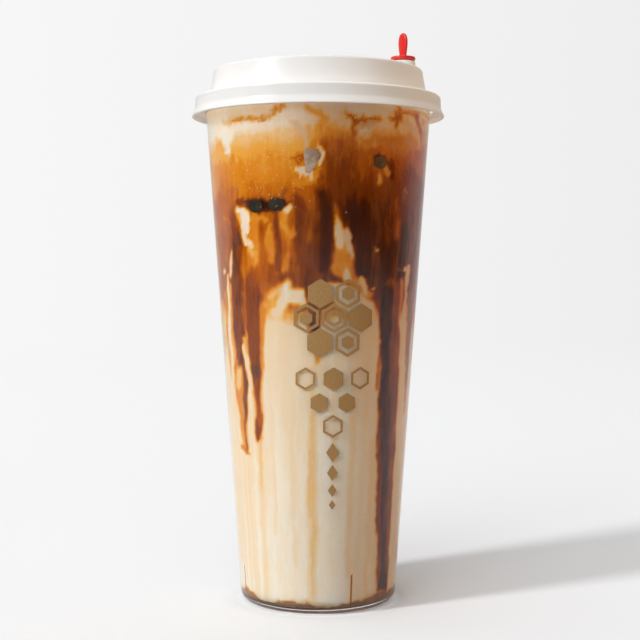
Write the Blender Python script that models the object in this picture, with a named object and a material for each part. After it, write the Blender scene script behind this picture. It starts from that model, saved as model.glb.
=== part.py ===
# Bubble tea in a tall clear cup: milk below, brown-sugar tea running down the wall,
# milk foam on top, under a white two-tier lid with a red stopper in its sip hole.
# Lengths are in metres, +Z is up, and the origin is the centre of the cup's foot.
# The front of the cup faces -Y, and an angle counts from there towards +X.

import math
import random

import bmesh
import bpy
from mathutils import Matrix, Vector

MM = 0.001

# Driving dimensions of the cup
CUP_HEIGHT = 192.2 * MM
WALL_FOOT_RADIUS = 29.78 * MM        # the outer cone carried down to the table
WALL_SLOPE = 0.0707                  # radius gained for each unit of height
WALL = 0.8 * MM
RIM_RADIUS = 45.0 * MM
RIM_DEPTH = 2.9 * MM
FOOT_FILLET = 3.6 * MM
FOOT_RING_WIDTH = 1.5 * MM
FLOOR_TOP = 3.0 * MM
FLOOR_UNDER = 1.6 * MM
FLOOR_FILLET = 1.6 * MM
RIB_COUNT = 4
RIB_FIRST_ANGLE = 24.5
RIB_HEIGHT = 11.8 * MM
RIB_WIDTH = 0.6 * MM
RIB_PROUD = 0.6 * MM

# Driving dimensions of the lid and its stopper
LID_WALL = 0.9 * MM
DOME_TOP = 203.7 * MM
DOME_TOP_RADIUS = 40.2 * MM
DOME_FOOT_RADIUS = 41.7 * MM
PANEL_TOP = 202.2 * MM
PANEL_RADIUS = 37.2 * MM
FLANGE_TOP = 193.4 * MM
FLANGE_RADIUS = 47.1 * MM
FLARE_START = 188.6 * MM
LIP_RADIUS = 48.4 * MM
LIP_BOTTOM = 185.6 * MM
SKIRT_RADIUS = 41.9 * MM             # the inner ring that plugs the cup's mouth
SKIRT_BOTTOM = 189.4 * MM
BOSS_CENTRE = 32.7 * MM
BOSS_FOOT_RADIUS = 5.3 * MM
BOSS_TOP_RADIUS = 4.7 * MM
BOSS_TOP = 207.6 * MM
SIP_HOLE_RADIUS = 3.1 * MM
DISC_RADIUS = 4.8 * MM
DISC_THICKNESS = 1.4 * MM
STEM_RADIUS = 2.7 * MM
STEM_BOTTOM = 200.4 * MM
PADDLE_HEIGHT = 9.4 * MM
PADDLE_WIDTH = 5.0 * MM
PADDLE_NECK = 2.8 * MM
PADDLE_THICKNESS = 1.5 * MM
PADDLE_TURN = 62.0                   # degrees that its broad face is turned from the front

# Driving dimensions of the drink
GAP = 0.3 * MM                       # kept between pieces that touch
DRINK_TOP = 187.0 * MM
FOAM_BOTTOM = 177.5 * MM
SYRUP_TOP = 4.6 * MM
TEA_LEVEL = 117.0 * MM               # mean height of the tea's lower edge at the wall
CORE_LEVEL = 112.0 * MM              # height of the same boundary in the middle
RUN_DEPTH = 7.0 * MM                 # how far the runs reach in from the wall
DRIP_DEPTH = 5.0 * MM
PEARL_RADIUS = 4.0 * MM
PEARL_FLAT = 1.2 * MM                # how much of a pearl the wall presses flat
ICE_EDGE = 13.0 * MM
ICE_INWARD = 0.54                    # the cube's centre lies this many edges inside the wall

TURNED_STEPS = 48
DRINK_STEPS = 144
SYRUP_STEPS = 72

# Runs of tea down the wall: angle of the tip, reach to its left and right, height of the tip
RUNS = [
    (-76.0, 4.0, 5.0, 97.0),
    (-52.5, 5.6, 4.6, 61.0),
    (-39.5, 4.4, 5.2, 65.0),
    (-2.0, 4.5, 4.5, 95.0),
    (54.0, 13.0, 4.4, 7.4),
    (71.0, 4.0, 5.0, 74.0),
]
# Fingers of milk that rise between them, in the same terms
FINGERS = [
    (-62.0, 3.2, 3.0, 127.0),
    (-46.2, 2.2, 2.2, 103.0),
    (-17.0, 6.5, 5.0, 121.0),
    (9.6, 2.6, 3.2, 147.0),
    (16.0, 3.6, 3.4, 138.0),
    (26.5, 5.0, 5.0, 123.0),
    (60.2, 2.4, 2.4, 128.0),
]
BACK_FROM, BACK_TO = 86.0, 272.0     # the unseen stretch, which follows the same rule
FOAM_DRIPS = [(-53.0, 4.5, 6.0), (23.0, 3.6, 3.0), (-72.0, 7.0, 3.5), (66.0, 4.5, 2.5)]
PEARLS = [(-34.8, 150.7), (-21.0, 151.0), (33.0, 166.2)]
ICE_ANGLE, ICE_HEIGHT = -1.8, 167.5 * MM


def clear_scene():
    for thing in list(bpy.data.objects):
        bpy.data.objects.remove(thing)


def finish_material(name, colour, roughness, transmission=0.0):
    material = bpy.data.materials.new(name)
    material.use_nodes = True
    shader = material.node_tree.nodes["Principled BSDF"]
    shader.inputs["Base Color"].default_value = (*colour, 1.0)
    shader.inputs["Roughness"].default_value = roughness
    shader.inputs["Transmission Weight"].default_value = transmission
    material.diffuse_color = (*colour, 1.0)
    return material


def make_object(name, mesh_data, material):
    """Turns a bmesh into a named object with its material, smooth but for its sharp edges."""
    mesh = bpy.data.meshes.new(name)
    bmesh.ops.recalc_face_normals(mesh_data, faces=mesh_data.faces[:])
    mesh_data.to_mesh(mesh)
    mesh_data.free()
    mesh.materials.append(material)
    mesh.shade_smooth()
    mesh.set_sharp_from_angle(angle=math.radians(35.0))
    thing = bpy.data.objects.new(name, mesh)
    bpy.context.scene.collection.objects.link(thing)
    return thing


def on_circle(radius, angle, height):
    """A point at an angle in degrees from the front, towards +X."""
    turn = math.radians(angle)
    return Vector((radius * math.sin(turn), -radius * math.cos(turn), height))


def arc(centre, radius, start, end, steps):
    """Profile points (radius, height) along an arc, angles in degrees from +R towards +Z."""
    points = []
    for step in range(steps + 1):
        turn = math.radians(start + (end - start) * step / steps)
        points.append((centre[0] + radius * math.cos(turn), centre[1] + radius * math.sin(turn)))
    return points


def turned(profile, steps):
    """Spins a profile of (radius, height), which starts and ends on the axis, about Z."""
    made = bmesh.new()
    points = [made.verts.new((0.0, -radius, height)) for radius, height in profile]
    edges = [made.edges.new(pair) for pair in zip(points, points[1:])]
    bmesh.ops.spin(
        made,
        geom=points + edges,
        cent=(0.0, 0.0, 0.0),
        axis=(0.0, 0.0, 1.0),
        angle=2 * math.pi,
        steps=steps,
        use_merge=True,
    )
    bmesh.ops.remove_doubles(made, verts=made.verts[:], dist=1e-6)
    return made


def outer_radius(height):
    return WALL_FOOT_RADIUS + WALL_SLOPE * height


def inner_radius(height):
    return outer_radius(height) - WALL


def cup_profile():
    """The cup's section, from the underside of its floor round the rim to the floor's top."""
    fillet_centre = (outer_radius(FOOT_FILLET) - FOOT_FILLET, FOOT_FILLET)
    foot_inside = fillet_centre[0] - FOOT_RING_WIDTH
    points = [(0.0, FLOOR_UNDER), (foot_inside - 1.2 * MM, FLOOR_UNDER), (foot_inside, 0.0)]
    points += arc(fillet_centre, FOOT_FILLET, -90.0, 0.0, 5)
    rim_under = CUP_HEIGHT - RIM_DEPTH
    rim_round = 0.9 * MM
    points += [(outer_radius(rim_under), rim_under), (RIM_RADIUS - 0.4 * MM, rim_under)]
    points += arc((RIM_RADIUS - rim_round, CUP_HEIGHT - rim_round), rim_round, 0.0, 90.0, 3)
    points += [(inner_radius(CUP_HEIGHT) + 0.4 * MM, CUP_HEIGHT)]
    points += [(inner_radius(CUP_HEIGHT - 0.6 * MM), CUP_HEIGHT - 0.6 * MM)]
    floor_centre = (inner_radius(FLOOR_TOP + FLOOR_FILLET) - FLOOR_FILLET, FLOOR_TOP + FLOOR_FILLET)
    points += arc(floor_centre, FLOOR_FILLET, 0.0, -90.0, 3)
    points += [(0.0, FLOOR_TOP)]
    return points


def rib_block(grow, angle):
    """One stacking rib on the inside of the wall, grown by a clearance when it is a cutter."""
    made = bmesh.new()
    half = RIB_WIDTH / 2 + grow
    low, high = FLOOR_TOP - 0.2 * MM, FLOOR_TOP + RIB_HEIGHT
    corners = []
    for height in (low - grow, high + grow):
        inside = inner_radius(height) - RIB_PROUD - grow
        outside = inner_radius(height) + WALL * 0.5 + grow * 3.0
        for radius, side in ((inside, -half), (inside, half), (outside, half), (outside, -half)):
            corners.append(made.verts.new((side, -radius, height)))
    quads = [(0, 1, 2, 3), (4, 5, 6, 7), (0, 1, 5, 4), (1, 2, 6, 5), (2, 3, 7, 6), (3, 0, 4, 7)]
    for quad in quads:
        made.faces.new([corners[k] for k in quad])
    made.transform(Matrix.Rotation(math.radians(angle), 4, "Z"))
    return made


def rib_angles():
    return [RIB_FIRST_ANGLE + 360.0 * k / RIB_COUNT for k in range(RIB_COUNT)]


def helper(name, mesh_data):
    """A cutter or an addition for a Boolean, which the model itself leaves out."""
    thing = make_object(name, mesh_data, HELPER_FINISH)
    thing.hide_render = True
    thing.display_type = "WIRE"
    return thing


def combine(target, others, operation):
    """Applies a Boolean of one helper after another to target, and removes the helpers."""
    for other in others:
        step = target.modifiers.new(other.name, "BOOLEAN")
        step.object = other
        step.operation = operation
        step.solver = "EXACT"
        bpy.context.view_layer.update()
        evaluated = target.evaluated_get(bpy.context.evaluated_depsgraph_get())
        mesh = bpy.data.meshes.new_from_object(evaluated)
        target.modifiers.clear()
        old = target.data
        target.data = mesh
        bpy.data.meshes.remove(old)
        bpy.data.objects.remove(other)
    target.data.set_sharp_from_angle(angle=math.radians(35.0))


def make_cup():
    cup = make_object("cup", turned(cup_profile(), TURNED_STEPS), CLEAR)
    ribs = [helper(f"rib_{k}", rib_block(0.0, angle)) for k, angle in enumerate(rib_angles())]
    combine(cup, ribs, "UNION")
    return cup


def lid_profile():
    """The lid's section, from the middle of its top down to the lip and back up inside."""
    edge = 1.3 * MM
    shoulder = 1.1 * MM
    points = [(0.0, PANEL_TOP), (PANEL_RADIUS, PANEL_TOP)]
    points += [(PANEL_RADIUS + 0.8 * MM, DOME_TOP - 0.3 * MM), (DOME_TOP_RADIUS - edge, DOME_TOP)]
    points += arc((DOME_TOP_RADIUS - edge, DOME_TOP - edge), edge, 60.0, 8.0, 2)
    points += [(DOME_FOOT_RADIUS, FLANGE_TOP + 0.5 * MM), (DOME_FOOT_RADIUS + 0.6 * MM, FLANGE_TOP)]
    points += arc((FLANGE_RADIUS - shoulder, FLANGE_TOP - shoulder), shoulder, 90.0, 0.0, 3)
    points += [(FLANGE_RADIUS + 0.15 * MM, FLARE_START), (LIP_RADIUS, LIP_BOTTOM + 0.4 * MM)]
    points += [(LIP_RADIUS - 0.3 * MM, LIP_BOTTOM), (LIP_RADIUS - LID_WALL, LIP_BOTTOM)]
    bead = FLARE_START - 0.3 * MM
    inside = FLANGE_RADIUS - LID_WALL
    points += [(inside, bead - 0.7 * MM), (RIM_RADIUS - 0.5 * MM, bead), (inside, bead + 0.6 * MM)]
    under = FLANGE_TOP - LID_WALL
    points += [(inside, under), (SKIRT_RADIUS, under), (SKIRT_RADIUS - 0.2 * MM, SKIRT_BOTTOM)]
    points += [(SKIRT_RADIUS - LID_WALL, SKIRT_BOTTOM), (SKIRT_RADIUS - LID_WALL - 0.1 * MM, under)]
    points += [(DOME_TOP_RADIUS - LID_WALL, DOME_TOP - LID_WALL - edge)]
    points += [(PANEL_RADIUS, PANEL_TOP - LID_WALL), (0.0, PANEL_TOP - LID_WALL)]
    return points


def boss_centre():
    return Vector((BOSS_CENTRE, 0.0, 0.0))


def make_lid():
    lid = make_object("lid", turned(lid_profile(), TURNED_STEPS), WHITE)
    round_edge = 0.5 * MM
    foot = PANEL_TOP - LID_WALL * 0.5
    outline = [(0.0, foot), (BOSS_FOOT_RADIUS, foot), (BOSS_TOP_RADIUS, BOSS_TOP - round_edge)]
    outline += [(BOSS_TOP_RADIUS - round_edge, BOSS_TOP), (0.0, BOSS_TOP)]
    boss = turned(outline, 24)
    boss.transform(Matrix.Translation(boss_centre()))
    low, high = PANEL_TOP - 4.0 * MM, BOSS_TOP + 2.0 * MM
    hole = turned([(0.0, low), (SIP_HOLE_RADIUS, low), (SIP_HOLE_RADIUS, high), (0.0, high)], 24)
    hole.transform(Matrix.Translation(boss_centre()))
    combine(lid, [helper("boss", boss)], "UNION")
    combine(lid, [helper("sip_hole", hole)], "DIFFERENCE")
    return lid


def paddle_half_width(share):
    """Half the paddle's width at a share of its height: a narrow neck, then a long drop."""
    neck, broad = PADDLE_NECK / 2, PADDLE_WIDTH / 2
    rise = neck + (broad - neck) * math.sin(min(share / 0.62, 1.0) * math.pi / 2)
    tip = math.sqrt(max(0.0, 1.0 - max(0.0, (share - 0.62) / 0.38) ** 2))
    return rise * tip


def paddle_mesh(foot):
    """The flat finger grip, as oval rings stacked from the disc to a rounded tip."""
    made = bmesh.new()
    rings, sides = 9, 14
    stacked = []
    for k in range(rings):
        share = math.sin(k / rings * math.pi / 2)
        half = paddle_half_width(share)
        thin = PADDLE_THICKNESS / 2 * min(1.0, half / (PADDLE_NECK / 2))
        height = foot + PADDLE_HEIGHT * share
        ring = []
        for side in range(sides):
            turn = 2 * math.pi * side / sides
            across = math.copysign(abs(math.cos(turn)) ** 0.7, math.cos(turn)) * half
            deep = math.copysign(abs(math.sin(turn)) ** 0.7, math.sin(turn)) * thin
            ring.append(made.verts.new((across, deep, height)))
        stacked.append(ring)
    tip = made.verts.new((0.0, 0.0, foot + PADDLE_HEIGHT))
    made.faces.new(stacked[0][::-1])
    for lower, upper in zip(stacked, stacked[1:]):
        for side in range(sides):
            after = (side + 1) % sides
            made.faces.new((lower[side], lower[after], upper[after], upper[side]))
    for side in range(sides):
        made.faces.new((stacked[-1][side], stacked[-1][(side + 1) % sides], tip))
    return made


def make_stopper():
    low = BOSS_TOP + GAP
    high = low + DISC_THICKNESS
    edge = 0.4 * MM
    outline = [(0.0, STEM_BOTTOM), (STEM_RADIUS - 0.5 * MM, STEM_BOTTOM), (STEM_RADIUS, STEM_BOTTOM + edge)]
    outline += [(STEM_RADIUS, low), (DISC_RADIUS - edge, low), (DISC_RADIUS, low + edge)]
    outline += [(DISC_RADIUS, high - edge), (DISC_RADIUS - edge, high), (0.0, high)]
    stopper = make_object("stopper", turned(outline, 28), RED)
    paddle = paddle_mesh(high - 0.3 * MM)
    paddle.transform(Matrix.Rotation(math.radians(-PADDLE_TURN), 4, "Z"))
    combine(stopper, [helper("paddle", paddle)], "UNION")
    stopper.data.transform(Matrix.Translation(boss_centre()))
    return stopper


def drink_radius(height):
    """The drink's outer radius, a gap inside the wall and the floor's fillet."""
    radius = inner_radius(height) - GAP
    low = FLOOR_TOP + FLOOR_FILLET - height
    if low > 0.0:
        radius -= FLOOR_FILLET - math.sqrt(max(0.0, FLOOR_FILLET ** 2 - low ** 2))
    return radius


def side_share(angle, centre, left, right):
    """1 at a run's centre, falling to a third at its reach on the side that the angle lies on."""
    offset = (angle - centre + 180.0) % 360.0 - 180.0
    reach = left if offset < 0.0 else right
    return math.exp(-((abs(offset) / reach) ** 4))


def back_features():
    """Runs and fingers for the stretch that the front view doesn't show, in turn."""
    draw = random.Random(7)
    runs, fingers = [], []
    angle = BACK_FROM
    while angle < BACK_TO:
        reach = draw.uniform(3.0, 6.5)
        runs.append((angle + reach, reach, reach * draw.uniform(0.7, 1.1), draw.uniform(30.0, 98.0)))
        angle += 2 * reach + draw.uniform(1.0, 5.0)
        slim = draw.uniform(2.2, 4.0)
        fingers.append((angle + slim, slim, slim, draw.uniform(112.0, 138.0)))
        angle += 2 * slim + draw.uniform(1.0, 4.0)
    return runs + fingers


WALL_FEATURES = RUNS + FINGERS + back_features()


def tea_edge(angle):
    """Height of the tea's lower edge at the wall: a level, pulled down by runs and up by milk."""
    turn = math.radians(angle)
    height = TEA_LEVEL + (3.0 * math.sin(3 * turn + 0.8) + 2.0 * math.sin(7 * turn)) * MM
    for centre, left, right, tip in WALL_FEATURES:
        height += (tip * MM - height) * side_share(angle, centre, left, right)
    return height


def foam_edge(angle):
    """Height of the foam's underside at the wall, with short drips of foam into the tea."""
    turn = math.radians(angle)
    height = FOAM_BOTTOM + (1.0 * math.sin(5 * turn + 1.0) + 0.8 * math.sin(11 * turn)) * MM
    for centre, reach, drop in FOAM_DRIPS:
        height -= drop * MM * side_share(angle, centre, reach, reach)
    return height


def boundary_rows(edge, core, depth, shares):
    """Rings of a boundary between layers, crowded towards the wall, and its middle point."""
    rows = []
    for share in shares:
        reach = share * depth
        fade = math.exp(-(share ** 4))
        row = []
        for k in range(DRINK_STEPS):
            angle = 360.0 * k / DRINK_STEPS
            height = core + (edge(angle) - core) * fade
            row.append(on_circle(drink_radius(height) - reach, angle, height))
        rows.append(row)
    return rows, Vector((0.0, 0.0, core))


def add_skin(made, rows, middle):
    """Adds a boundary's faces to a mesh, and returns its rings and its middle vertex."""
    grid = [[made.verts.new(point) for point in row] for row in rows]
    centre = made.verts.new(middle)
    for outer, inner in zip(grid, grid[1:]):
        for k in range(len(outer)):
            after = (k + 1) % len(outer)
            made.faces.new((outer[k], outer[after], inner[after], inner[k]))
    for k in range(len(grid[-1])):
        made.faces.new((grid[-1][k], grid[-1][(k + 1) % len(grid[-1])], centre))
    return grid, centre


def split(boundary):
    """The boundary moved half a gap down and half a gap up its normals, still ending at the wall."""
    made = bmesh.new()
    grid, centre = add_skin(made, *boundary)
    made.normal_update()
    upward = math.copysign(1.0, centre.normal.z)
    sides = []
    for amount in (-GAP / 2 * upward, GAP / 2 * upward):
        rows = [[vert.co + vert.normal * amount for vert in row] for row in grid]
        for point in rows[0]:
            scale = drink_radius(point.z) / math.hypot(point.x, point.y)
            point.x *= scale
            point.y *= scale
        sides.append((rows, centre.co + centre.normal * amount))
    made.free()
    return sides


def layer(lower, upper):
    """A closed layer between two boundaries that share their columns at the wall."""
    made = bmesh.new()
    low = add_skin(made, *lower)[0][0]
    high = add_skin(made, *upper)[0][0]
    for k in range(len(low)):
        after = (k + 1) % len(low)
        made.faces.new((low[k], low[after], high[after], high[k]))
    return made


def flat_rows(height_at, steps, shares=(1.0, 0.55)):
    """A gently uneven face across the drink, as rings from the wall inwards."""
    rows = []
    for share in shares:
        row = []
        for k in range(steps):
            angle = 360.0 * k / steps
            height = height_at(angle, share)
            row.append(on_circle(drink_radius(height) * share, angle, height))
        rows.append(row)
    return rows, Vector((0.0, 0.0, height_at(0.0, 0.0)))


def syrup_top(angle, share):
    """The settled syrup's top: deeper under the long run, and thin in the middle."""
    turn = math.radians(angle)
    wave = (0.25 * math.sin(4 * turn + 2.0) + 0.15 * math.sin(9 * turn)) * MM
    pool = 0.5 * MM * side_share(angle, 54.0, 25.0, 25.0)
    return SYRUP_TOP + (wave + pool) * share


def foam_top(angle, share):
    turn = math.radians(angle)
    return DRINK_TOP + 0.35 * MM * math.sin(3 * turn + 0.5) * share


def pearl_mesh(radius, angle, height, grow):
    """A soft pearl, flattened where the cup's wall presses it."""
    made = bmesh.new()
    bmesh.ops.create_uvsphere(made, u_segments=12, v_segments=8, radius=radius + grow)
    centre = on_circle(inner_radius(height) - GAP - radius + PEARL_FLAT, angle, height)
    made.transform(Matrix.Translation(centre))
    for vert in made.verts:
        reach = math.hypot(vert.co.x, vert.co.y)
        limit = inner_radius(vert.co.z) - GAP + grow * 4.0
        if reach > limit:
            vert.co.x *= limit / reach
            vert.co.y *= limit / reach
    return made


def ice_mesh(grow):
    """An ice cube with worn corners, one edge of it flattened against the wall."""
    made = bmesh.new()
    bmesh.ops.create_cube(made, size=ICE_EDGE + 2 * grow)
    bmesh.ops.bevel(made, geom=made.edges[:], offset=2.2 * MM, segments=2, profile=0.5, affect="EDGES")
    lean = Matrix.Rotation(math.radians(14.0), 4, "Y") @ Matrix.Rotation(math.radians(9.0), 4, "X")
    made.transform(lean @ Matrix.Rotation(math.radians(45.0), 4, "Z"))
    reach = inner_radius(ICE_HEIGHT) - ICE_EDGE * ICE_INWARD
    made.transform(Matrix.Translation(on_circle(reach, ICE_ANGLE, ICE_HEIGHT)))
    for vert in made.verts:
        distance = math.hypot(vert.co.x, vert.co.y)
        limit = inner_radius(vert.co.z) - GAP + grow * 4.0
        if distance > limit:
            vert.co.x *= limit / distance
            vert.co.y *= limit / distance
    return made


def make_drink():
    floor = FLOOR_TOP + GAP
    floor_rows = flat_rows(lambda angle, share: floor, SYRUP_STEPS)
    syrup = layer(floor_rows, flat_rows(syrup_top, SYRUP_STEPS))
    settled = make_object("settled_syrup", syrup, SYRUP)

    below = flat_rows(lambda angle, share: syrup_top(angle, share) + GAP, DRINK_STEPS)
    under, over = split(boundary_rows(tea_edge, CORE_LEVEL, RUN_DEPTH, (0.0, 0.35, 0.75, 1.2, 1.8, 3.2)))
    milk = make_object("milk", layer(below, under), MILK)

    tea_top, foam_under = split(boundary_rows(foam_edge, FOAM_BOTTOM, DRIP_DEPTH, (0.0, 0.9, 2.0)))
    tea = make_object("tea", layer(over, tea_top), TEA)
    make_object("foam", layer(foam_under, flat_rows(foam_top, DRINK_STEPS)), FOAM)

    grooves = [helper(f"groove_{k}", rib_block(GAP, angle)) for k, angle in enumerate(rib_angles())]
    combine(milk, grooves, "DIFFERENCE")
    grooves = [helper(f"slot_{k}", rib_block(GAP, angle)) for k, angle in enumerate(rib_angles())]
    combine(settled, grooves, "DIFFERENCE")

    sockets = []
    for number, (angle, height) in enumerate(PEARLS, 1):
        pearl = pearl_mesh(PEARL_RADIUS, angle, height * MM, 0.0)
        make_object(f"pearl_{number}", pearl, PEARL)
        sockets.append(helper(f"socket_{number}", pearl_mesh(PEARL_RADIUS, angle, height * MM, GAP)))
    make_object("ice", ice_mesh(0.0), ICE)
    sockets.append(helper("ice_socket", ice_mesh(GAP)))
    combine(tea, sockets, "DIFFERENCE")


clear_scene()
HELPER_FINISH = finish_material("helper", (0.5, 0.5, 0.5), 0.5)
CLEAR = finish_material("clear_plastic", (0.93, 0.95, 0.96), 0.05, 1.0)
WHITE = finish_material("white_plastic", (0.86, 0.86, 0.86), 0.22)
RED = finish_material("red_plastic", (0.75, 0.03, 0.02), 0.3)
MILK = finish_material("milk_tea", (0.83, 0.68, 0.52), 0.3)
TEA = finish_material("brown_sugar_tea", (0.30, 0.09, 0.012), 0.25)
SYRUP = finish_material("syrup", (0.05, 0.018, 0.008), 0.2)
FOAM = finish_material("milk_foam", (0.82, 0.74, 0.64), 0.5)
PEARL = finish_material("tapioca_pearl", (0.012, 0.016, 0.012), 0.15)
ICE = finish_material("ice", (0.55, 0.48, 0.42), 0.1)
make_cup()
make_lid()
make_stopper()
make_drink()
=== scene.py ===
# %% [markdown]
# # A brown-sugar milk tea in a clear cup
# The drink is sold in a tall clear cup of about 700 ml, moulded in thin polypropylene and closed by
# a white lid. Syrup is smeared on the wall first, so it slides down in dark runs while the milk is
# poured, and pearls and ice press against the plastic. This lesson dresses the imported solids.

import math
import random

import bmesh
import bpy
import numpy as np
from mathutils import Matrix, Vector, noise


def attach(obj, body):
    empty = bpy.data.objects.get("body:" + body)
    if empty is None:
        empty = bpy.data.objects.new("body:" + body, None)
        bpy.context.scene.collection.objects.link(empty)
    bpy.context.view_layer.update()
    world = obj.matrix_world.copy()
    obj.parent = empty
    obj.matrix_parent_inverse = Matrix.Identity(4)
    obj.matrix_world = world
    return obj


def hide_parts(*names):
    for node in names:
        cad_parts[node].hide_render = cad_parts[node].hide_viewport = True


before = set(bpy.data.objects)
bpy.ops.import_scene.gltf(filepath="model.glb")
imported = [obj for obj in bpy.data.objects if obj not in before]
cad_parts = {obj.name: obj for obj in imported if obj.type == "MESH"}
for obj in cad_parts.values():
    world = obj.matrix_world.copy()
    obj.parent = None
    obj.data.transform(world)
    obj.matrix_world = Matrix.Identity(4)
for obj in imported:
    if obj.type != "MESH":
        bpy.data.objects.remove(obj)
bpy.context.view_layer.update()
print("nodes:", ", ".join(sorted(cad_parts)))

# %% [markdown]
# ## Sizes
# All lengths in the tables are millimetres, and one factor turns them into metres. The wall is a
# plain cone, so a place on it is an angle from the front, towards +X, and a height. The same few
# numbers describe the solids, so each dressed piece lands exactly where its solid is.

# %% Sizes
MM = 0.001
FOOT_RADIUS = 29.78
SLOPE = 0.0707
WALL = 0.8
CUP_TOP = 192.2
RIM_RADIUS = 45.0
FLOOR_TOP = 3.0
FLOOR_FILLET = 1.6
INTO_WALL = 0.3
RIB_ANGLE = 24.5
RIB_TOP = 14.8
DRINK_TOP = 187.0


def outer_radius(height):
    return FOOT_RADIUS + SLOPE * height


def inner_radius(height):
    return outer_radius(height) - WALL


def drink_radius(height):
    """Just inside the plastic, so that no air shows between the drink and the wall."""
    bend = FLOOR_FILLET + INTO_WALL
    low = np.clip(FLOOR_TOP + FLOOR_FILLET - height, 0.0, bend)
    return inner_radius(height) - FLOOR_FILLET + np.sqrt(bend ** 2 - low ** 2)


def place(angle, radius, height):
    """Angles in degrees and lengths in millimetres, as an array of points in metres."""
    turn = np.radians(angle)
    points = np.broadcast_arrays(radius * np.sin(turn), -radius * np.cos(turn), height)
    return np.stack(points, axis=-1) * MM


print("brim of the wall:", round(outer_radius(CUP_TOP), 1), "mm from the axis")

# %% [markdown]
# ## Mesh helpers
# Nearly everything here is round: a stack of rings joined by quads, closed by a fan at each end.
# One function builds cup, lid and drink alike, because a turned part and a layer of liquid differ
# only in whether a ring is level. Pieces that must fuse are joined by an exact Boolean.

# %% Mesh helpers
SHARP = 35.0


def new_object(name, data, material=None):
    thing = bpy.data.objects.new(name, data)
    bpy.context.scene.collection.objects.link(thing)
    if material:
        data.materials.append(material)
    return thing


def finish_mesh(mesh, sharp=SHARP):
    """Turns every face outwards and shades it smooth, but for edges sharper than this angle."""
    work = bmesh.new()
    work.from_mesh(mesh)
    bmesh.ops.recalc_face_normals(work, faces=work.faces[:])
    work.to_mesh(mesh)
    work.free()
    mesh.shade_smooth()
    mesh.set_sharp_from_angle(angle=math.radians(sharp))
    return mesh


def ring_mesh(name, rings, sharp=SHARP):
    """A mesh from rings of points, array (ring, point, 3), with a fan in each end ring."""
    count, around = rings.shape[:2]
    points = rings.reshape(-1, 3)
    index = np.arange(count * around).reshape(count, around)
    after = np.roll(index, -1, axis=1)
    quads = np.stack([index[:-1], after[:-1], after[1:], index[1:]], axis=-1)
    faces = quads.reshape(-1, 4).tolist()
    for end in (0, -1):
        faces += [[a, b, len(points)] for a, b in zip(index[end], after[end])]
        points = np.vstack([points, rings[end].mean(axis=0)])
    mesh = bpy.data.meshes.new(name)
    mesh.from_pydata(points, [], faces)
    return finish_mesh(mesh, sharp)


def turned(name, profile, steps, centre=0.0):
    """A turned shape from a profile of (radius, height) that starts and ends near the axis."""
    radius, height = np.array(profile).T
    angle = np.arange(steps) * 360.0 / steps
    rings = place(angle[None, :], radius[:, None], height[:, None])
    rings[..., 0] += centre * MM
    return ring_mesh(name, rings)


def arc(centre, radius, start, end, steps):
    turns = np.radians(np.linspace(start, end, steps + 1))
    return [(centre[0] + radius * math.cos(t), centre[1] + radius * math.sin(t)) for t in turns]


def combine(target, mesh, operation):
    """Applies one exact Boolean to target and removes the helper."""
    other = new_object("helper", mesh)
    step = target.modifiers.new("combine", "BOOLEAN")
    step.object = other
    step.operation = operation
    step.solver = "EXACT"
    bpy.context.view_layer.update()
    seen = target.evaluated_get(bpy.context.evaluated_depsgraph_get())
    made = bpy.data.meshes.new_from_object(seen)
    target.modifiers.clear()
    target.data = made
    bpy.data.objects.remove(other)
    made.set_sharp_from_angle(angle=math.radians(SHARP))


def dress(thing, slot, *nodes):
    """Rides a finished piece on the one body and hides the nodes it replaces; slot is not used."""
    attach(thing, "root")
    if nodes:
        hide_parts(*nodes)
    thing.data.calc_loop_triangles()
    print(thing.name, len(thing.data.loop_triangles), "triangles")


print("edges stay sharp past", SHARP, "degrees")

# %% [markdown]
# ## Node helpers
# Every finish below is a small node tree on the object's own coordinates. One helper feeds a node:
# it links what is a socket and sets what is a value, which keeps each recipe short enough to read.

# %% Node helpers
def linear(red, green, blue):
    """An 8-bit display colour as the linear colour that a shader takes."""
    shares = [channel / 255.0 for channel in (red, green, blue)]
    return [s / 12.92 if s < 0.04045 else ((s + 0.055) / 1.055) ** 2.4 for s in shares] + [1.0]


def feed(tree, made, inputs):
    """Links each input that is given a socket, and sets each that is given a value."""
    for key, value in inputs.items():
        if isinstance(value, bpy.types.NodeSocket):
            tree.links.new(value, made.inputs[key])
        else:
            made.inputs[key].default_value = value


def node(tree, kind, inputs=None, **settings):
    made = tree.nodes.new(kind)
    for key, value in settings.items():
        setattr(made, key, value)
    feed(tree, made, inputs or {})
    return made


def new_material(name):
    material = bpy.data.materials.new(name)
    material.use_nodes = True
    tree = material.node_tree
    return material, tree, tree.nodes["Principled BSDF"]


def grain(tree, scale, detail=2.0, stretch=(1.0, 1.0, 1.0)):
    """A noise from 0 to 1 on the object's coordinates; scale is in cycles per metre."""
    where = node(tree, "ShaderNodeTexCoord")
    fit = node(tree, "ShaderNodeMapping", {"Vector": where.outputs["Object"], "Scale": stretch})
    inputs = {"Vector": fit.outputs[0], "Scale": scale, "Detail": detail}
    return node(tree, "ShaderNodeTexNoise", inputs).outputs["Fac"]


def mapped(tree, value, low, high, start=0.3, end=0.7, shape="LINEAR"):
    """Low to high while the value goes from start to end."""
    inputs = {"Value": value, "From Min": start, "From Max": end, "To Min": low, "To Max": high}
    return node(tree, "ShaderNodeMapRange", inputs, interpolation_type=shape).outputs[0]


def maths(tree, operation, *values, clamp=False):
    inputs = dict(enumerate(values))
    return node(tree, "ShaderNodeMath", inputs, operation=operation, use_clamp=clamp).outputs[0]


def bump(tree, shader, height, distance, strength=1.0):
    inputs = {"Height": height, "Distance": distance, "Strength": strength}
    made = node(tree, "ShaderNodeBump", inputs)
    tree.links.new(made.outputs[0], shader.inputs["Normal"])


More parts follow.
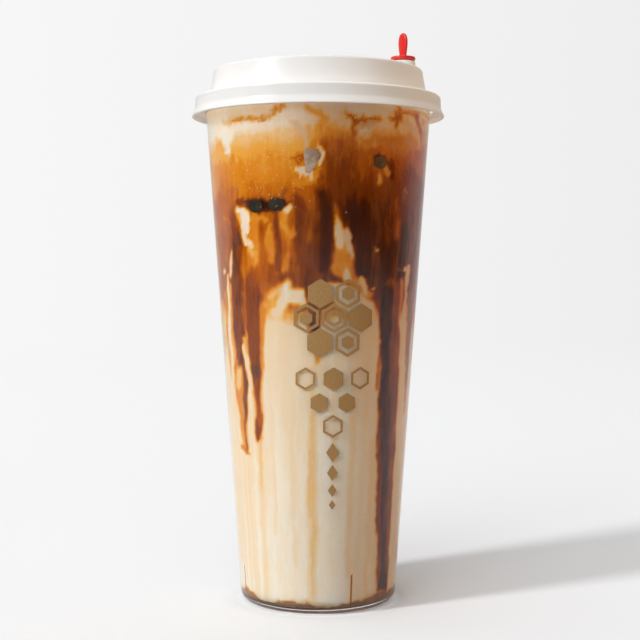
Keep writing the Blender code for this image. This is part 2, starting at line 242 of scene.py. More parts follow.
def colours(tree, factor, stops):
    ramp = node(tree, "ShaderNodeValToRGB", {"Fac": factor})
    ramp.color_ramp.interpolation = "EASE"
    while len(ramp.color_ramp.elements) < len(stops):
        ramp.color_ramp.elements.new(0.5)
    for element, (position, colour) in zip(ramp.color_ramp.elements, sorted(stops)):
        element.position = position
        element.color = linear(*colour)
    return ramp.outputs[0]


def blend(tree, factor, first, second, kind="MIX"):
    """A colour between two, each of them a socket or a linear colour."""
    inputs = {"Factor": factor, "A": first, "B": second}
    return node(tree, "ShaderNodeMix", inputs, data_type="RGBA", blend_type=kind).outputs["Result"]


def mixed(tree, share, first, second):
    """Two shaders mixed: all of the first where share is 0, all of the second where it is 1."""
    inputs = {0: share, 1: first.outputs[0], 2: second.outputs[0]}
    return node(tree, "ShaderNodeMixShader", inputs)


def show(tree, shader):
    tree.links.new(shader.outputs[0], tree.nodes["Material Output"].inputs["Surface"])


print("a mid grey as a shader takes it:", [round(value, 3) for value in linear(128, 128, 128)])

# %% [markdown]
# ## Plastics
# The cup is injection-moulded polypropylene: clear, with a faint haze and a slow waviness. Lamps
# pass straight through it to the drink, as thin plastic lets them. The lid and the stopper are the
# same family of plastic, filled with pigment, so they are glossy with a fine moulded skin, and the
# thin lid lets warm light come through.

# %% Plastics
def clear_plastic():
    material, tree, shader = new_material("clear_plastic")
    feed(tree, shader, {
        "Base Color": (0.985, 0.99, 0.99, 1.0),
        "Transmission Weight": 1.0,
        "IOR": 1.46,
        "Roughness": mapped(tree, grain(tree, 90.0, 3.0), 0.06, 0.15),
    })
    bump(tree, shader, grain(tree, 45.0, 1.0, (1.0, 1.0, 0.4)), 0.0004, 0.12)
    ray = node(tree, "ShaderNodeLightPath")
    clear = node(tree, "ShaderNodeBsdfTransparent", {"Color": (0.94, 0.94, 0.94, 1.0)})
    show(tree, mixed(tree, ray.outputs["Is Shadow Ray"], shader, clear))
    return material


def coloured_plastic(name, light, dark, roughness, glow, lets_through):
    """Pigmented plastic: a share of glow shines through, and shadows let some light by."""
    material, tree, shader = new_material(name)
    feed(tree, shader, {
        "Base Color": colours(tree, grain(tree, 40.0, 3.0), [(0.3, dark), (0.7, light)]),
        "Roughness": mapped(tree, grain(tree, 90.0), roughness, roughness + 0.03),
        "IOR": 1.49,
        "Subsurface Weight": 0.12,
        "Subsurface Radius": (1.0, 0.8, 0.7),
        "Subsurface Scale": 0.0015,
    })
    bump(tree, shader, grain(tree, 1400.0, 1.0), 0.00001, 0.1)
    through = node(tree, "ShaderNodeBsdfTranslucent", {"Color": (0.95, 0.86, 0.76, 1.0)})
    ray = node(tree, "ShaderNodeLightPath")
    share = mapped(tree, ray.outputs["Is Shadow Ray"], 0.0, lets_through, 0.0, 1.0)
    clear = node(tree, "ShaderNodeBsdfTransparent", {"Color": (1.0, 0.93, 0.86, 1.0)})
    show(tree, mixed(tree, share, mixed(tree, glow, shader, through), clear))
    return material


CLEAR = clear_plastic()
WHITE = coloured_plastic("white_plastic", (246, 246, 245), (244, 244, 243), 0.20, 0.08, 0.9)
RED = coloured_plastic("red_plastic", (232, 52, 42), (220, 42, 34), 0.3, 0.05, 0.1)
print("plastics:", CLEAR.name, WHITE.name, RED.name)

# %% [markdown]
# ## Liquids
# What shows at the wall is how thick the syrup lies on the milk. Each drink mesh therefore carries
# two numbers per point: `tone`, from bare milk at 0 to thick syrup at 1, and `veil`, the milk that
# clouds it. In places both also carry painted shade and painted reflection. The shader turns tone
# into colour and adds fine wisps, and light wanders under the surface as it does in milk.

# %% Liquids
SYRUP_COLOURS = [
    (0.00, (247, 241, 230)),
    (0.10, (242, 223, 192)),
    (0.20, (241, 208, 150)),
    (0.32, (240, 184, 80)),
    (0.45, (228, 153, 34)),
    (0.58, (200, 110, 8)),
    (0.72, (151, 70, 2)),
    (0.86, (92, 34, 1)),
    (1.00, (40, 10, 0)),
]
VEIL_COLOUR = (204, 160, 124)


def liquid(name, scatter, roughness, wisps):
    material, tree, shader = new_material(name)
    tone = node(tree, "ShaderNodeAttribute", attribute_name="tone").outputs["Fac"]
    veil = node(tree, "ShaderNodeAttribute", attribute_name="veil").outputs["Fac"]
    streaks = mapped(tree, grain(tree, 420.0, 4.0, (1.0, 1.0, 0.22)), -wisps, wisps)
    flecks = mapped(tree, grain(tree, 900.0, 3.0), -wisps * 0.6, wisps * 0.6)
    ridge = maths(tree, "SUBTRACT", grain(tree, 230.0, 3.0, (1.0, 1.0, 0.12)), 0.5)
    threads = mapped(tree, maths(tree, "ABSOLUTE", ridge), -wisps * 1.5, 0.0, 0.0, 0.03)
    fine = maths(tree, "ADD", maths(tree, "ADD", streaks, flecks), threads)
    strength = mapped(tree, tone, 0.25, 1.0, 0.0, 0.4)
    syrup = colours(tree, maths(tree, "MULTIPLY_ADD", fine, strength, tone), SYRUP_COLOURS)
    uneven = mapped(tree, grain(tree, 420.0, 4.0, (1.0, 1.0, 0.3)), 0.75, 1.25)
    cloudy = maths(tree, "MULTIPLY", veil, uneven, clamp=True)
    feed(tree, shader, {
        "Base Color": blend(tree, cloudy, syrup, linear(*VEIL_COLOUR)),
        "Roughness": mapped(tree, grain(tree, 200.0), roughness, roughness + 0.15),
        "IOR": 1.34,
        "Specular IOR Level": 0.1,
        "Subsurface Weight": scatter,
        "Subsurface Radius": (1.0, 0.8, 0.6),
        "Subsurface Scale": 0.0022,
    })
    return material


DRINK = liquid("milk_tea", 1.0, 0.35, 0.03)
SYRUP = liquid("settled_syrup", 0.0, 0.3, 0.05)
print("liquids:", DRINK.name, SYRUP.name)

# %% [markdown]
# ## Small things
# Pearls, ice, ink and bubbles are each one colour that drifts a little. Two of the pearls are the
# usual near-black, and one shows browner through the tea, so it has a finish of its own.

# %% Small things
def plain_finish(name, low, high, scale, roughness, relief=0.0):
    """A finish whose colour drifts between two."""
    material, tree, shader = new_material(name)
    feed(tree, shader, {
        "Base Color": colours(tree, grain(tree, scale, 4.0), [(0.35, low), (0.65, high)]),
        "Roughness": mapped(tree, grain(tree, scale * 3), roughness, roughness + 0.1),
        "Specular IOR Level": 0.2,
    })
    if relief:
        bump(tree, shader, grain(tree, scale * 2, 3.0), relief, 0.6)
    return material


PEARL = plain_finish("tapioca", (26, 31, 22), (58, 48, 30), 260.0, 0.3, 0.0001)
BROWN_PEARL = plain_finish("brown_tapioca", (70, 50, 26), (120, 92, 54), 260.0, 0.3, 0.0001)
ICE = plain_finish("ice", (158, 132, 112), (196, 174, 152), 260.0, 0.12, 0.0002)
INK = plain_finish("print_ink", (170, 130, 80), (182, 143, 92), 2400.0, 0.6, 0.00001)
BUBBLE = plain_finish("bubbles", (226, 206, 170), (250, 244, 232), 900.0, 0.1)
print("small things:", PEARL.name, BROWN_PEARL.name, ICE.name, INK.name, BUBBLE.name)

# %% [markdown]
# ## Cup
# The cup's section is one closed line: out from the centre of the foot, round a fillet, up the
# cone, over the rolled rim and back down inside. Four thin ribs stand inside near the floor. They
# keep stacked empty cups from jamming, and the drink closes round them.

# %% Cup
def cup_profile():
    fillet = 3.6
    foot = outer_radius(fillet) - fillet
    points = [(0.02, 1.6), (1.4, 1.6), (1.8, 1.3), (2.4, 1.3), (2.8, 1.6)]
    points += [(foot - 2.9, 1.6), (foot - 2.5, 1.4), (foot - 1.7, 0.15), (foot - 1.5, 0.0)]
    points += arc((foot, fillet), fillet, -90.0, 0.0, 12)
    under = CUP_TOP - 2.9
    points += [(outer_radius(under) - 0.03, under - 0.3), (outer_radius(under) + 0.3, under)]
    points += [(RIM_RADIUS - 0.4, under), (RIM_RADIUS - 0.1, under + 0.15), (RIM_RADIUS, under + 0.5)]
    points += arc((RIM_RADIUS - 0.9, CUP_TOP - 0.9), 0.9, 0.0, 90.0, 6)
    points += arc((inner_radius(CUP_TOP) + 0.6, CUP_TOP - 0.6), 0.6, 90.0, 180.0, 4)
    corner = FLOOR_TOP + FLOOR_FILLET
    points += arc((inner_radius(corner) - FLOOR_FILLET, corner), FLOOR_FILLET, 0.0, -90.0, 8)
    return points + [(0.02, FLOOR_TOP)]


def rib_mesh(angle):
    """A thin upright bar on the inside of the wall, rounded towards the drink."""
    low, high = FLOOR_TOP - 0.2, RIB_TOP
    rings = []
    for height in (low, high - 0.3, high):
        lift = 0.6 if height < high else 0.3
        across = np.array([-0.3, -0.2, 0.2, 0.3, 0.3, -0.3])
        depth = inner_radius(height) + np.array([-0.3, -lift, -lift, -0.3, 0.4, 0.4])
        turn = math.radians(angle)
        x = across * math.cos(turn) + depth * math.sin(turn)
        y = across * math.sin(turn) - depth * math.cos(turn)
        rings.append(np.stack([x, y, np.full(6, height)], axis=-1) * MM)
    return ring_mesh("rib", np.array(rings))


cup = new_object("clear_cup", turned("clear_cup", cup_profile(), 144), CLEAR)
for quarter in range(4):
    combine(cup, rib_mesh(RIB_ANGLE + 90.0 * quarter), "UNION")
dress(cup, "clear_plastic", "cup")

# %% [markdown]
# ## Lid
# The lid is a thin white shell in two tiers: a skirt with a flared lip that snaps over the rim, and
# a dome whose top panel is sunk inside a raised ring. A small boss stands in the panel with the sip
# hole through it. The shell is turned from one section, then the boss is added and the hole cut.

# %% Lid
BOSS_AT = 32.7
LID_WALL = 0.9
LIP, FLARE, FLANGE, PANEL, LID_TOP = 185.6, 188.6, 193.4, 202.2, 203.7


def lid_profile():
    points = [(0.02, PANEL), (36.4, PANEL), (37.1, PANEL + 0.12), (37.6, PANEL + 0.6)]
    points += [(38.0, LID_TOP - 0.35), (38.45, LID_TOP - 0.05), (38.9, LID_TOP)]
    points += arc((38.9, LID_TOP - 1.3), 1.3, 80.0, 6.0, 7)
    points += [(41.62, FLANGE + 0.9), (41.75, FLANGE + 0.45), (42.05, FLANGE + 0.12), (42.5, FLANGE)]
    points += arc((46.0, FLANGE - 1.1), 1.1, 90.0, 0.0, 8)
    points += [(47.2, FLARE + 0.5), (47.28, FLARE), (47.5, FLARE - 0.5), (48.3, LIP + 0.7)]
    points += arc((48.0, LIP + 0.4), 0.4, 10.0, -90.0, 4) + [(47.5, LIP)]
    points += [(46.3, 187.6), (45.2, 187.9), (44.5, 188.3), (45.2, 188.7), (46.2, 188.9)]
    under = FLANGE - LID_WALL
    points += [(46.2, under - 0.4), (45.8, under), (42.3, under), (41.9, under - 0.4), (41.7, 189.6)]
    points += [(41.5, 189.4), (41.1, 189.4), (41.0, 189.6), (40.8, under)]
    points += [(39.5, LID_TOP - LID_WALL - 1.5), (38.9, LID_TOP - LID_WALL - 0.6)]
    return points + [(37.2, PANEL - LID_WALL), (0.02, PANEL - LID_WALL)]


lid = new_object("white_lid", turned("white_lid", lid_profile(), 192), WHITE)
boss = [(0.02, 201.7), (5.6, 201.7), (5.6, 202.2), (5.25, 202.45), (5.05, 203.2), (4.72, 207.0)]
boss += arc((4.3, 207.2), 0.4, 0.0, 90.0, 4) + [(0.02, 207.6)]
combine(lid, turned("boss", boss, 64, BOSS_AT), "UNION")
hole = [(0.02, 198.0), (3.1, 198.0), (3.1, 207.3), (3.4, 207.7), (3.4, 210.0), (0.02, 210.0)]
combine(lid, turned("hole", hole, 64, BOSS_AT), "DIFFERENCE")
dress(lid, "white_plastic", "lid")

# %% [markdown]
# ## Stopper
# The red stopper has a stem that fills the sip hole, a disc that sits on the boss, and a flat grip
# for the fingers. Stem and disc are turned. The grip is a stack of flattened rings that swell from
# a narrow neck to a long drop, and it stands half edge-on to the front.

# %% Stopper
GRIP_FOOT = 209.1
GRIP_LENGTH = 9.4
GRIP_TURN = -54.0
SWELL_END = 0.62


def squared(wave, half):
    """A sine or cosine pushed outwards, which gives a flattened ring full corners."""
    return np.copysign(np.abs(wave) ** 0.75, wave) * half


def grip_mesh():
    """The flat grip: a narrow neck that swells to a long drop, with rounded edges."""
    rings = []
    side = np.linspace(0.0, 2 * math.pi, 40, endpoint=False)
    for share in np.sin(np.linspace(0.0, 1.0, 25)[:-1] * math.pi / 2):
        swell = 1.4 + 1.1 * math.sin(min(share / SWELL_END, 1.0) * math.pi / 2)
        past = max(0.0, (share - SWELL_END) / (1.0 - SWELL_END))
        half = swell * math.sqrt(max(0.0, 1.0 - past ** 2))
        flare = 1.0 + 0.5 * math.exp(-share * 30.0)
        across = squared(np.cos(side), half * flare)
        deep = squared(np.sin(side), 0.75 * min(1.0, half / 1.4) * flare)
        level = np.full(40, GRIP_FOOT + GRIP_LENGTH * share)
        rings.append(np.stack([across, deep, level], axis=-1) * MM)
    mesh = ring_mesh("grip", np.array(rings))
    turn = Matrix.Rotation(math.radians(GRIP_TURN), 4, "Z")
    mesh.transform(Matrix.Translation((BOSS_AT * MM, 0.0, 0.0)) @ turn)
    return mesh


disc = [(0.02, 200.4), (2.2, 200.4), (2.7, 200.9), (2.7, 207.9), (4.4, 207.9)]
disc += arc((4.3, 208.4), 0.5, -60.0, 0.0, 3) + arc((4.3, 208.8), 0.5, 0.0, 90.0, 5)
disc += [(0.02, 209.3)]
stopper = new_object("red_stopper", turned("red_stopper", disc, 72, BOSS_AT), RED)
combine(stopper, grip_mesh(), "UNION")
dress(stopper, "red_plastic", "stopper")

# %% [markdown]
# ## Edges between the layers
# The milk foam floats on the tea and the heaviest syrup lies on the floor. Where they meet is a
# slow wave round the wall, with a few drips. The same sums shaped the solids, so paint and solids
# meet at the same heights.

# %% Edges between the layers
ANGLES = np.arange(360.0)
FOAM_EDGE = 177.5
FOAM_DRIPS = ((-53.0, 4.5, 6.0), (23.0, 3.6, 3.0), (-72.0, 7.0, 3.5), (66.0, 4.5, 2.5))


def waves(angle, parts):
    """A sum of sines round the wall: (amplitude, times round, phase)."""
    turn = np.radians(angle)
    return sum(size * np.sin(times * turn + phase) for size, times, phase in parts)


def drip(angle, centre, reach):
    """1 at a drip's centre and 0 well past its reach."""
    offset = (angle - centre + 180.0) % 360.0 - 180.0
    return np.exp(-((np.abs(offset) / reach) ** 4))


def foam_edge(angle):
    height = FOAM_EDGE + waves(angle, [(1.0, 5, 1.0), (0.8, 11, 0.0)])
    for centre, reach, drop in FOAM_DRIPS:
        height -= drop * drip(angle, centre, reach)
    return height


def syrup_edge(angle):
    height = 4.2 + waves(angle, [(0.35, 2, 2.4), (0.12, 7, 2.0), (0.08, 13, 0.0)])
    return height + 0.7 * drip(angle, 56.0, 24.0)


print("foam starts between", foam_edge(ANGLES).min().round(1), "and", foam_edge(ANGLES).max().round(1))

# %% [markdown]
# ## A line of syrup
# A run of syrup is a soft line on the wall. It is kept as points of (angle, height, half width),
# and the mask below is 1 inside it and falls to 0 over its softness. An image could hold the same
# picture, but lines need no file and can be moved one by one.

# %% A line of syrup
def line_mask(angle, height, points, soft):
    """1 inside a soft line on the wall, 0 outside."""
    start = points[0][0]
    radius = outer_radius(height)
    along = np.radians((angle - start + 180.0) % 360.0 - 180.0) * radius
    nearest = np.full(angle.shape, 1e6)
    for first, second in zip(points, points[1:] or points):
        x0 = math.radians(first[0] - start) * outer_radius(first[1])
        x1 = math.radians(second[0] - start) * outer_radius(second[1])
        step = np.array([x1 - x0, second[1] - first[1]])
        length = max(float(step @ step), 1e-6)
        share = np.clip(((along - x0) * step[0] + (height - first[1]) * step[1]) / length, 0.0, 1.0)
        gap = np.hypot(along - x0 - share * step[0], height - first[1] - share * step[1])
        nearest = np.minimum(nearest, gap - first[2] - share * (second[2] - first[2]))
    edge = np.clip(0.5 - nearest / soft, 0.0, 1.0)
    return edge * edge * (3.0 - 2.0 * edge)


spot = line_mask(np.array([0.0]), np.array([100.0]), [(0.0, 100.0, 1.0)], 1.0)
print("the middle of a line is covered by", float(spot[0]))

# %% [markdown]
# ## From milk to foam
# Before any line is drawn the wall has a background: milk from the foot up, brown above it, then
# amber and foam. The room is darker at the right, so a second column of tones, mostly darker as
# painted shade and with more veil, holds there; a share for each angle leads from one to the other.

# %% From milk to foam
LEVELS = [0, 60, 108, 116, 127, 142, 150, 155, 160, 165, 172, 176, 178.5, 181, 186]
BRIGHT = [0.04, 0.06, 0.09, 0.66, 0.66, 0.62, 0.57, 0.51, 0.46, 0.41, 0.30, 0.20, 0.05, 0.02, 0.05]
# Tones at the shaded right, mostly darker: painted shade
SHADED = [0.03, 0.04, 0.09, 0.78, 0.84, 0.82, 0.80, 0.75, 0.70, 0.66, 0.56, 0.38, 0.15, 0.06, 0.02]
VEILED = [0.02, 0.03, 0.05, 0.02, 0.00, 0.00, 0.00, 0.00, 0.00, 0.02, 0.08, 0.16, 0.20, 0.16, 0.12]
SHADE_ANGLES = [-180, -120, -80, -14, 6, 60, 85, 120, 180]
SHADE_SHARES = [0.5, 0.4, 0.1, 0.0, 1.0, 1.0, 0.9, 0.5, 0.5]
print("background levels:", len(LEVELS))

# %% [markdown]
# ## The brown layer
# Syrup smeared above the milk dissolves into clouds. Wide, very soft lines give the clouds, and
# narrower ones the streaks in the amber. The first wide line, at the left edge, is syrup under a
# painted reflection in its veil. Each line is a tone, a veil, a softness and its points, and later
# lines cover earlier ones, as the smears do.

# %% The brown layer
WASHES = [
    # Left edge: syrup, with a painted reflection of the bright room as its veil
    (0.56, 0.58, 9.0, [(-82, 116, 5), (-82, 146, 5)]),
    (0.66, 0.26, 7.0, [(-66, 118, 5), (-62, 144, 5)]),
    (0.42, 0.24, 10.0, [(-84, 160, 7), (-72, 162, 4)]),
    (0.30, 0.00, 5.0, [(-72, 169, 2), (-60, 171, 2.5), (-50, 172, 1)]),
    (0.80, 0.06, 4.0, [(-53, 150, 1.2), (-52, 134, 2.2), (-52, 116, 2.6)]),
    (0.58, 0.12, 6.0, [(-50, 156, 2), (-56, 150, 3)]),
    (0.90, 0.00, 4.0, [(4, 152, 2.2), (4, 140, 2.0), (3, 129, 2.0)]),
    (0.78, 0.05, 5.0, [(-12, 153, 1.4), (-9, 148, 2), (-9, 142, 2), (-4, 130, 3)]),
    (0.88, 0.00, 6.0, [(25, 151, 1.2), (24, 144, 3), (24, 130, 3)]),
    (0.80, 0.00, 6.0, [(36, 150, 3), (40, 128, 5)]),
    (0.76, 0.05, 9.0, [(64, 152, 4), (66, 128, 5)]),
    (0.66, 0.40, 10.0, [(82, 150, 5), (82, 112, 6)]),
    (0.60, 0.10, 8.0, [(64, 168, 3), (78, 168, 6)]),
    (0.70, 0.05, 4.0, [(-41, 124, 3), (-40.4, 114, 5)]),
    (0.76, 0.06, 4.0, [(-53, 124, 2.5), (-52.6, 114, 4)]),
    (0.88, 0.00, 5.0, [(38, 136, 2), (41, 124, 3.4), (42, 114, 3)]),
    (0.12, 0.00, 8.0, [(-72, 92, 2), (-72, 20, 4)]),
    (0.40, 0.50, 7.0, [(40, 173, 1.5), (54, 174, 2)]),
]
AMBER = [
    (0.52, 0.04, 1.6, [(-61.5, 146, 0.9), (-56, 145, 1.2)]),
    (0.54, 0.00, 3.0, [(-42, 134, 2.2), (-43, 128, 2.6), (-44, 125, 1.2)]),
    (0.42, 0.00, 2.8, [(-36.4, 147, 1.8), (-35.4, 140, 2.2), (-36.6, 130, 2.2)]),
    (0.58, 0.03, 1.8, [(-31.2, 142, 0.4), (-31, 136, 0.9), (-32, 129, 0.8)]),
    (0.42, 0.00, 2.0, [(-26.2, 142.4, 0.9), (-27, 138, 1.6), (-26.6, 131, 1.4)]),
    (0.78, 0.06, 2.0, [(-23, 147.5, 0.8), (-21.6, 139, 0.9), (-22.2, 128, 1.1)]),
    (0.40, 0.00, 1.8, [(-17.6, 148, 1.2), (-17.4, 142, 1.7), (-14, 139, 1.0)]),
    (0.48, 0.00, 1.8, [(-16.6, 133, 1.3), (-17.5, 128, 1.5)]),
    (0.46, 0.00, 1.2, [(-12.5, 142, 0.5), (-11.5, 140, 0.7)]),
    (0.64, 0.00, 4.0, [(-2.5, 147, 0.8), (-3, 138, 1.2)]),
    (0.42, 0.00, 3.0, [(-10, 158.4, 1.4), (-4, 158.6, 1.8), (0.6, 162, 1.4), (1.6, 165, 0.6)]),
    (0.60, 0.00, 1.4, [(-13.4, 166.6, 0.4), (-9.5, 166.4, 1.2), (-6.4, 167.8, 1.0)]),
    (0.66, 0.00, 1.8, [(3.4, 172, 0.7), (4.6, 167, 0.8)]),
    (0.46, 0.20, 2.5, [(-6, 177, 1.0), (-6, 172, 1.5)]),
    (0.84, 0.08, 2.2, [
        (-47, 151.8, 0.8), (-41, 151.4, 1.6), (-30, 151, 2.2), (-21, 150.6, 2.5), (-16, 150.6, 1.0)]),
    (0.38, 0.00, 1.8, [(-36, 146.4, 1.2), (-31, 146.6, 1.1), (-28, 145.4, 0.8)]),
    (0.74, 0.10, 1.6, [(-19, 153, 1.0), (-16.4, 156.4, 0.5)]),
    (0.96, 0.00, 1.4, [
        (-38.4, 151.0, 0.7), (-34, 150.8, 1.9), (-27, 150.6, 1.9), (-20, 150.8, 2.0), (-18.8, 151, 1.0)]),
    (0.86, 0.00, 1.8, [(29.4, 167.6, 0.7), (32.4, 166.2, 2.3), (37.4, 165, 1.0)]),
    (0.82, 0.00, 2.2, [(40, 167, 0.6), (40.5, 162, 1.0), (41, 160, 0.9)]),
    (0.60, 0.00, 2.6, [(47, 152, 0.8), (47, 140, 1.6)]),
]
print("clouds and streaks:", len(WASHES + AMBER))

# %% [markdown]
# ## Cream patches
# Milk that is poured last rises against the wall in pale tongues with an amber fringe. Each patch
# is a few short lines: the fringe first, a little wider and browner, then the pale core.

# %% Cream patches
MILK = [
    (0.20, 0.00, 3.0, [(-28, 116, 1.2), (-24, 119, 1.2), (-16, 122, 1.5)]),
    (0.08, 0.04, 2.4, [
        (-24, 112, 2.2), (-17, 118.5, 2.6), (-8, 117, 2.8), (4, 119, 3), (20, 117, 5), (27, 112, 4.5)]),
    (0.05, 0.00, 1.4, [(-17.5, 121, 1.2), (-17, 118, 1.2)]),
    (0.46, 0.00, 2.4, [(9.4, 150, 0.2), (9.6, 146, 0.9), (11, 141, 2.4), (13, 135, 3.2), (14, 128, 4.2)]),
    (0.42, 0.00, 2.2, [(13, 128, 3.8), (21, 124, 2.2), (30, 118, 1.4)]),
    (0.20, 0.00, 1.2, [(9.3, 147, 0.3), (9.5, 144.6, 0.8), (10.2, 141, 1.4)]),
    (0.12, 0.10, 1.4, [(9.8, 142.6, 0.7), (11, 139.6, 1.9), (11.8, 137, 1.8)]),
    (0.36, 0.00, 1.0, [(13, 141.6, 0.2), (14.2, 137.6, 0.3), (15.4, 134, 0.3)]),
    (0.07, 0.34, 1.0, [(14.6, 141.2, 0.7), (16, 138.4, 1.2), (17.4, 134.6, 0.9), (18, 132.4, 0.4)]),
    (0.12, 0.12, 1.2, [(15.6, 128, 0.9), (16, 125, 1.3)]),
    (0.08, 0.15, 1.1, [(24.4, 125, 1.0), (26.4, 122, 1.4), (27.6, 119.5, 0.6)]),
    (0.16, 0.20, 0.9, [(31.5, 120.4, 0.4), (33, 120.0, 0.4)]),
    (0.05, 0.02, 1.0, [(-46.8, 148.8, 1.2), (-42.2, 148.4, 1.8), (-40.4, 146.5, 1.6)]),
    (0.05, 0.02, 1.0, [(-44, 146, 1.7), (-42, 143.5, 2.6), (-42.8, 141.5, 1.8)]),
    (0.06, 0.02, 1.0, [(-43.6, 139.6, 1.1), (-41, 137.8, 1.5), (-38.6, 136, 0.9)]),
    (0.34, 0.00, 1.0, [(-47.4, 147.2, 0.8), (-45.6, 145.4, 0.9)]),
    (0.38, 0.00, 1.2, [(-41.6, 140.6, 0.3), (-39.8, 139.8, 0.7), (-38.4, 141, 0.5)]),
    (0.26, 0.00, 1.8, [(-39.6, 134.8, 1.0), (-38.6, 132.8, 0.8)]),
    (0.92, 0.16, 1.3, [(-48.4, 141, 0.7), (-47.6, 137.4, 1.0)]),
    (0.08, 0.08, 1.1, [(-17.6, 149.4, 0.6), (-15.2, 149.6, 0.9), (-16.4, 147.4, 0.6)]),
    (0.08, 0.05, 1.0, [(-11, 163.8, 0.5), (-7, 162.8, 1.1), (-3.2, 161.6, 0.9)]),
    (0.10, 0.05, 0.8, [(-8.8, 162.4, 0.5), (-8.8, 160.6, 0.2)]),
    (0.10, 0.05, 0.8, [(-6, 162, 0.5), (-6, 160, 0.2)]),
    (0.10, 0.05, 0.8, [(-3, 161, 0.6), (-2.8, 159.4, 0.2)]),
    # The pale line along the right edge of the ice
    (0.07, 0.10, 0.9, [(0.4, 172, 0.5), (2, 170.4, 0.8), (2.4, 167.4, 0.6), (1.4, 164.4, 0.5)]),
    (0.36, 0.05, 1.4, [(32.6, 161.4, 0.9), (33, 158.8, 1.0)]),
    (0.34, 0.25, 1.3, [(35.5, 163.4, 0.5), (38, 161.8, 1.1)]),
    (0.16, 0.25, 0.9, [(33, 160.4, 0.5)]),
    (0.48, 0.00, 1.0, [(30, 163.6, 0.5)]),
    (0.54, 0.00, 1.2, [(26.6, 168, 0.5), (26.8, 164, 0.5)]),
]
print("lines of milk:", len(MILK))

# %% [markdown]
# ## Runs over the milk
# Below the brown layer the syrup hangs down in long runs that thin out to a thread. The left ones
# are split and short, and on the right one wide dark run reaches the foot. Wide soft lines go
# down first as the fringe, then narrow dark ones as the core.

# %% Runs over the milk
LEFT_RUNS = [
    (0.26, 0.16, 8.0, [(-78, 112, 3), (-75, 101, 3)]),
    (0.46, 0.05, 2.6, [(-67, 118, 1.1), (-66.6, 104, 1.1), (-66.4, 96, 0.7), (-66, 88, 0.3)]),
    (0.06, 0.00, 1.3, [(-61, 126, 0.5), (-61.8, 120, 1.2), (-62.6, 108, 1.4), (-63.4, 98, 1.4)]),
    (0.05, 0.10, 0.9, [(-55.6, 134.6, 0.5), (-56.6, 131, 0.9), (-58, 126.4, 0.9)]),
    (0.04, 0.20, 0.8, [(-64, 128, 0.8), (-66.6, 127, 0.8)]),
    (0.38, 0.00, 2.0, [(-58.8, 122, 0.8), (-59.6, 110, 1.0), (-60, 100, 0.8)]),
    (0.42, 0.00, 2.4, [
        (-53, 112, 4.8), (-53.5, 98, 4.6), (-54.4, 84, 4.0), (-53, 74, 2.8), (-52.6, 62, 1.6)]),
    (0.76, 0.02, 1.8, [(-52.6, 116, 3.9), (-52.8, 106, 3.6), (-52.2, 98, 3.0), (-53, 94.6, 3.0)]),
    (0.54, 0.00, 1.4, [(-57, 94.4, 1.0), (-60.6, 91.5, 0.8), (-60, 86, 0.5), (-58, 80.6, 0.6)]),
    (0.80, 0.06, 1.2, [
        (-50.4, 95, 1.9), (-49.2, 90, 1.6), (-48.6, 84.5, 1.5), (-50.4, 79.5, 1.2), (-50.8, 72, 0.8)]),
    (0.66, 0.00, 0.9, [(-51.4, 74, 0.8), (-51.8, 66, 0.5), (-51.8, 60, 0.5)]),
    (0.22, 0.00, 1.3, [(-56, 89.6, 1.5), (-56.4, 84, 1.6)]),
    (0.50, 0.00, 1.2, [(-57.4, 61.8, 0.9), (-52.6, 60.4, 0.8), (-49.6, 59, 0.3)]),
    (0.44, 0.00, 2.4, [(-40.2, 112, 5.6), (-39.6, 98, 3.8), (-39.4, 82, 2.2), (-39.8, 66, 1.8)]),
    (0.74, 0.03, 1.7, [
        (-40.4, 116, 4.6), (-40.4, 108, 4.2), (-39.8, 100, 3.0), (-39.6, 91, 2.2), (-39.4, 85, 1.6)]),
    (0.84, 0.12, 1.6, [(-39.6, 91, 2.0), (-39.2, 86.4, 1.0)]),
    (0.70, 0.00, 1.1, [
        (-39.2, 86, 1.5), (-39.2, 78, 1.1), (-39.2, 72.6, 1.9), (-39.8, 68.4, 1.8), (-40.6, 65, 0.8)]),
    (0.62, 0.04, 2.0, [(-46.6, 118, 1.3), (-46.6, 108, 1.2)]),
    (0.28, 0.00, 1.8, [(-48.8, 102.5, 0.8), (-46.6, 98.5, 1.4)]),
    (0.07, 0.00, 1.3, [(-49.2, 99.4, 0.8), (-46.4, 94, 1.4), (-45.2, 87, 1.1), (-44.6, 78, 1.0)]),
    (0.46, 0.00, 1.8, [(-31.5, 112, 1.4), (-33.4, 102, 0.9), (-34.2, 92, 0.4)]),
    (0.36, 0.00, 1.8, [(-30.5, 113.5, 1.2), (-25, 114.5, 0.8)]),
    (0.22, 0.00, 2.2, [(-39.8, 63, 1.2), (-39.5, 46, 0.8)]),
    (0.14, 0.00, 2.4, [(-39.5, 46, 1.0), (-39.8, 6, 0.7)]),
    (0.15, 0.00, 2.0, [(-56, 58, 0.6), (-55.6, 30, 0.5), (-55.6, 6, 0.3)]),
    (0.15, 0.00, 2.0, [(-50.8, 58, 0.7), (-50.6, 30, 0.6), (-50.4, 6, 0.4)]),
    (0.11, 0.00, 2.0, [(-47.4, 74, 0.5), (-47.6, 6, 0.4)]),
    (0.13, 0.00, 2.2, [(-62, 88, 0.8), (-62, 8, 0.4)]),
    (0.10, 0.00, 2.0, [(-29.5, 98, 0.5), (-29.3, 30, 0.4)]),
    (0.10, 0.00, 2.2, [(-16, 84, 0.5), (-16, 20, 0.5)]),
]
